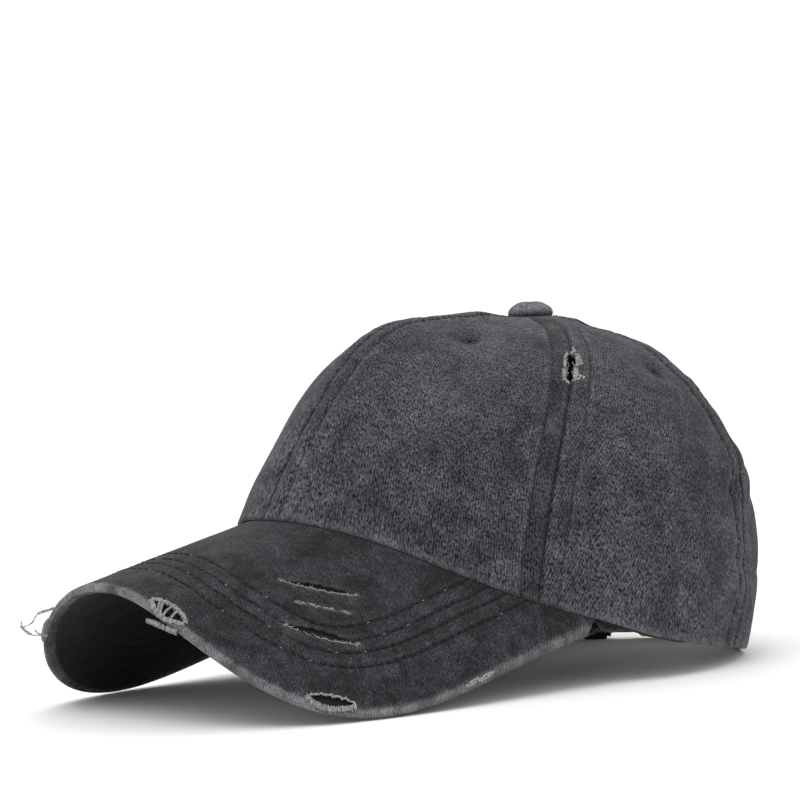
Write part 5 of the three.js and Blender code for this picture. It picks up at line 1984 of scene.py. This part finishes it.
class FrayedPlaces(bpy.types.Operator):
    """Bare strands at the worn seam hole, the brim's slashes and its torn edge"""
    bl_idname = "cap.frayed_places"
    bl_label = "Frayed places"

    def execute(self, context):
        look = context.scene.cap_fray
        random = np.random.default_rng(7)
        pale = thread_finish("bare strands", tuple(0.22 * part for part in look.pale), tuple(look.pale))
        seam = Bundle()
        self.seam_hole(seam, look, random, context.scene.cap_sewing.seam_allowance)
        seam.piece("seam_hole_strands", pale, "front_panel_left")
        brim = Bundle()
        self.slashes(brim, look, random)
        self.edge_holes(brim, look, random)
        self.far_edge(brim, look, random)
        brim.piece("brim_strands", pale, "brim_top")
        return {"FINISHED"}

    def seam_hole(self, bundle, look, random, allowance):
        radius = look.strand / 2
        for size, corners in HOLE_CORDS:
            line = spline(corners, 16)
            path, normals = on_seam(line[:, 0], line[:, 1], 0.0, allowance)
            fluffy_cord(bundle, path, normals, size, radius, random, 0.26)
            loose_ends(bundle, path, normals, 1.9 * size, radius, random, 0.6)
        for across in (-1.3, 0.7):
            along = np.linspace(random.uniform(3.5, 7), random.uniform(-7, -3.5), 14)
            path, normals = on_seam(across + 0.3 * np.sin(along), along, -0.9, allowance)
            wavy_strand(bundle, path, normals, radius * 0.8, random)

    def slashes(self, bundle, look, random):
        radius = look.strand / 2
        for number, slash in enumerate(SLASHES):
            outline = slash_outline(slash)
            lower_lip = np.vstack([outline[SLASH_STEPS - 1:], outline[:1]])
            path, normals = on_brim(lower_lip[:, 0], lower_lip[:, 1], 0.02)
            for _ in range(2):
                wavy_strand(bundle, path, normals, radius * 0.62, random, 0.16, 0.10)
            loose_ends(bundle, path, normals, 0.75, radius * 0.7, random, 1.2 / look.density)
            for x, y in (slash[:2], slash[2:4]):
                reach = 0.7 if number else 0.5
                line = np.array([(x, y - reach), (x, y), (x, y + reach)])
                path, normals = on_brim(line[:, 0], line[:, 1], 0.0)
                fluffy_cord(bundle, path, normals, 0.26, radius * 0.7, random, 0.3)
                loose_ends(bundle, path, normals, 0.9, radius * 0.7, random, 0.25)
        start, end = np.array(WORN_LINE[:2]), np.array(WORN_LINE[2:])
        for share in np.linspace(0, 1, 72):
            x, y = start + (end - start) * share + random.normal(0, 0.18, 2)
            if math.sin(23 * share) + 0.5 * math.sin(51 * share) < -0.35:
                continue
            heading = random.uniform(0.3, 1.2) * unit(end - start) + random.normal(0, 0.25, 2)
            steps = np.array([0, 0.5, 1])
            path, normals = on_brim(x + heading[0] * steps, y + heading[1] * steps, WORN_LIFTS)
            bundle.strand(path, radius * 0.85, random.uniform(0.4, 1.0))

    def edge_holes(self, bundle, look, random):
        radius = look.strand / 2
        for number, (hole, (inner, outer, step)) in enumerate(zip(EDGE_HOLES, EDGE_BORDERS)):
            outline = edge_hole_outline(hole)
            lips = outline[:EDGE_HOLE_STEPS], np.vstack([outline[EDGE_HOLE_STEPS - 1:], outline[:1]])
            for lip, border, away in zip(lips, (inner, outer), (0.5 * inner, -step)):
                depth = np.maximum(lip[:, 1] + away, 0.02)
                path, normals = on_edge(lip[:, 0], depth, np.full(len(lip), 0.0))
                fluffy_cord(bundle, path, normals, border, radius, random, 0.24)
                loose_ends(bundle, path, normals, 0.5 + 0.8 * border, radius * 0.8, random, 0.7)
                for _ in range(2):
                    wavy_strand(bundle, path, normals, radius, random, 0.3, 0.5 * border)
            if number == 0:
                self.tear_threads(bundle, hole, radius, random)

    def tear_threads(self, bundle, hole, radius, random):
        """Threads across the left tear, and the torn string that hangs from its lower lip."""
        first, last, deep, shallow = hole
        across = np.linspace(0, 1, 9)
        for start, end in TEAR_THREADS:
            angles = first + (last - first) * np.linspace(start, end, 9)
            depths = np.linspace(deep, shallow, 9)
            path, normals = on_edge(angles, depths, 0.5 * np.sin(np.pi * across))
            fluffy_cord(bundle, path, normals, 0.36, radius * 0.8, random, 0.22)
        steps = 16
        angles = np.linspace(first + 0.5, last - 0.2, steps)
        lifts = 0.4 + 0.35 * np.sin(np.pi * np.linspace(0.1, 1, steps))
        path, normals = on_edge(angles, np.full(steps, 0.02), lifts)
        bow = 2.2 * np.sin(np.pi * np.linspace(0.42, 0.94, steps))
        hang = bow + 1.6 * np.linspace(1, 0, steps) ** 4
        path = path - np.array([0, 0, 1]) * hang[:, None]
        fluffy_cord(bundle, path, normals, 0.84, radius * 0.85, random, 0.2)

    def far_edge(self, bundle, look, random):
        """Loose threads that stand off the far edge of the brim."""
        bearing = math.radians(CAMERA_BEARING)
        right = np.array([math.cos(bearing), math.sin(bearing), PICTURE_RIGHT_FALL])
        up = np.array(PICTURE_UP)
        toward = np.array([0.6, -0.8, 0])
        start, _ = on_edge(np.array([LOOSE_ANGLE]), np.array([0.1]), np.array([0.0]))
        for steps in LOOSE_THREADS:
            line = spline(np.array(steps), 14)
            away = 0.6 * np.sin(np.linspace(0, 5, len(line)))
            path = start + line[:, :1] * right + line[:, 1:] * up + away[:, None] * toward
            bundle.strand(path, look.strand * 0.7, random.uniform(0.5, 1.0))
            bundle.strand(path + random.normal(0, 0.16, path.shape), look.strand * 0.45, 0.7)


# Stage


# Camera: bearing, height angle and roll in degrees, distance in millimetres, focal length in pixels, the
# width of the picture, the pixel of the cap's origin, and the width of the sensor in millimetres
CAMERA_BEARING = 50.851
CAMERA_HEIGHT_ANGLE = 1.017
CAMERA_ROLL = 3.255
CAMERA_DISTANCE = 1074.968
FOCAL_PIXELS = 3006.486
PICTURE_PIXELS = 800
AIM_PIXEL = (483.47, 672.331)
SENSOR = 36

# Radius of the floor
FLOOR_RADIUS = 60.0


class Stage(bpy.types.Operator):
    """Pale floor, soft studio light and the camera"""
    bl_idname = "cap.stage"
    bl_label = "Stage"

    def execute(self, context):
        look = context.scene.cap_stage
        self.floor(look)
        self.lights(context.scene, look)
        self.camera(context.scene)
        return {"FINISHED"}

    def floor(self, look):
        finish = Finish("pale floor", 0.85)
        tint = finish.noise(finish.place(), 3.0, 2.0)
        colour = finish.mixed(tint, tuple(look.floor), tuple(0.985 * part for part in look.floor))
        material = finish.finish(colour)
        turn = np.linspace(0, 2 * np.pi, 65)[:-1]
        points = [(FLOOR_RADIUS * math.cos(angle), FLOOR_RADIUS * math.sin(angle), 0) for angle in turn]
        mesh = bpy.data.meshes.new("floor")
        mesh.from_pydata(points, [], [tuple(range(len(points)))])
        mesh.materials.append(material)
        floor = bpy.data.objects.new("floor", mesh)
        bpy.context.scene.collection.objects.link(floor)

    def lights(self, scene, look):
        world = bpy.data.worlds.new("studio")
        world.use_nodes = True
        background = world.node_tree.nodes["Background"]
        background.inputs["Color"].default_value = (1, 1, 1, 1)
        background.inputs["Strength"].default_value = look.fill
        scene.world = world
        for name, place, size, power in (
            ("key", (0.5, -0.9, 1.5), 1.1, look.key),
            ("rim", (-1.0, 0.8, 1.2), 0.9, 0.35 * look.key),
        ):
            lamp = bpy.data.lights.new(name, "AREA")
            lamp.shape = "DISK"
            lamp.size = size
            lamp.energy = power
            light = bpy.data.objects.new(name, lamp)
            light.location = place
            light.rotation_mode = "QUATERNION"
            light.rotation_quaternion = (Vector((0, 0, 0.05)) - Vector(place)).to_track_quat("-Z", "Y")
            scene.collection.objects.link(light)
        scene.view_settings.view_transform = "Standard"

    def camera(self, scene):
        bearing = math.radians(CAMERA_BEARING)
        height = math.radians(CAMERA_HEIGHT_ANGLE)
        roll = math.radians(CAMERA_ROLL)
        right = Vector((math.cos(bearing), math.sin(bearing), 0))
        forward = Vector((
            -math.sin(bearing) * math.cos(height), math.cos(bearing) * math.cos(height), -math.sin(height),
        ))
        up = right.cross(forward)
        half = PICTURE_PIXELS / 2
        step = CAMERA_DISTANCE / FOCAL_PIXELS
        place = right * -(AIM_PIXEL[0] - half) * step + up * (AIM_PIXEL[1] - half) * step
        place = (place - forward * CAMERA_DISTANCE + Vector(SHIFT)) * MM
        right_rolled = right * math.cos(roll) - up * math.sin(roll)
        up_rolled = right * math.sin(roll) + up * math.cos(roll)
        lens = bpy.data.cameras.new("camera")
        lens.sensor_width = SENSOR
        lens.lens = FOCAL_PIXELS * SENSOR / PICTURE_PIXELS
        lens.clip_start = 0.05
        lens.clip_end = 100
        camera = bpy.data.objects.new("camera", lens)
        turn = Matrix((right_rolled, up_rolled, -forward)).transposed()
        camera.matrix_world = Matrix.Translation(place) @ turn.to_4x4()
        scene.collection.objects.link(camera)
        scene.camera = camera


class CapPanel(bpy.types.Panel):
    """Sizes, colours and pieces of the cap"""
    bl_idname = "VIEW3D_PT_cap"
    bl_label = "Ponytail cap"
    bl_space_type = "VIEW_3D"
    bl_region_type = "UI"
    bl_category = "Cap"

    def draw(self, context):
        for group in GROUPS:
            box = self.layout.box()
            settings = getattr(context.scene, group)
            for name in settings.__annotations__:
                box.prop(settings, name)
        for operator in OPERATORS:
            self.layout.operator(operator.bl_idname)


GROUPS = {
    "cap_cloth": CapCloth,
    "cap_sewing": CapSewing,
    "cap_fray": CapFray,
    "cap_metal": CapMetal,
    "cap_stage": CapStage,
}
OPERATORS = (
    CrownPanels, CrownStitching, BrimCloth, BrimStitching, Bindings, Strap, Buckle, InnerParts,
    FrayedPlaces, Stage,
)
CLASSES = (*GROUPS.values(), *OPERATORS, CapPanel)


def register():
    for kind in CLASSES:
        bpy.utils.register_class(kind)
    for name, group in GROUPS.items():
        setattr(bpy.types.Scene, name, PointerProperty(type=group))


def unregister():
    for name in GROUPS:
        delattr(bpy.types.Scene, name)
    for kind in reversed(CLASSES):
        bpy.utils.unregister_class(kind)


def main():
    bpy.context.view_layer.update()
    register()
    for operator in OPERATORS:
        group, name = operator.bl_idname.split(".")
        getattr(getattr(bpy.ops, group), name)()


if __name__ == "__main__":
    main()
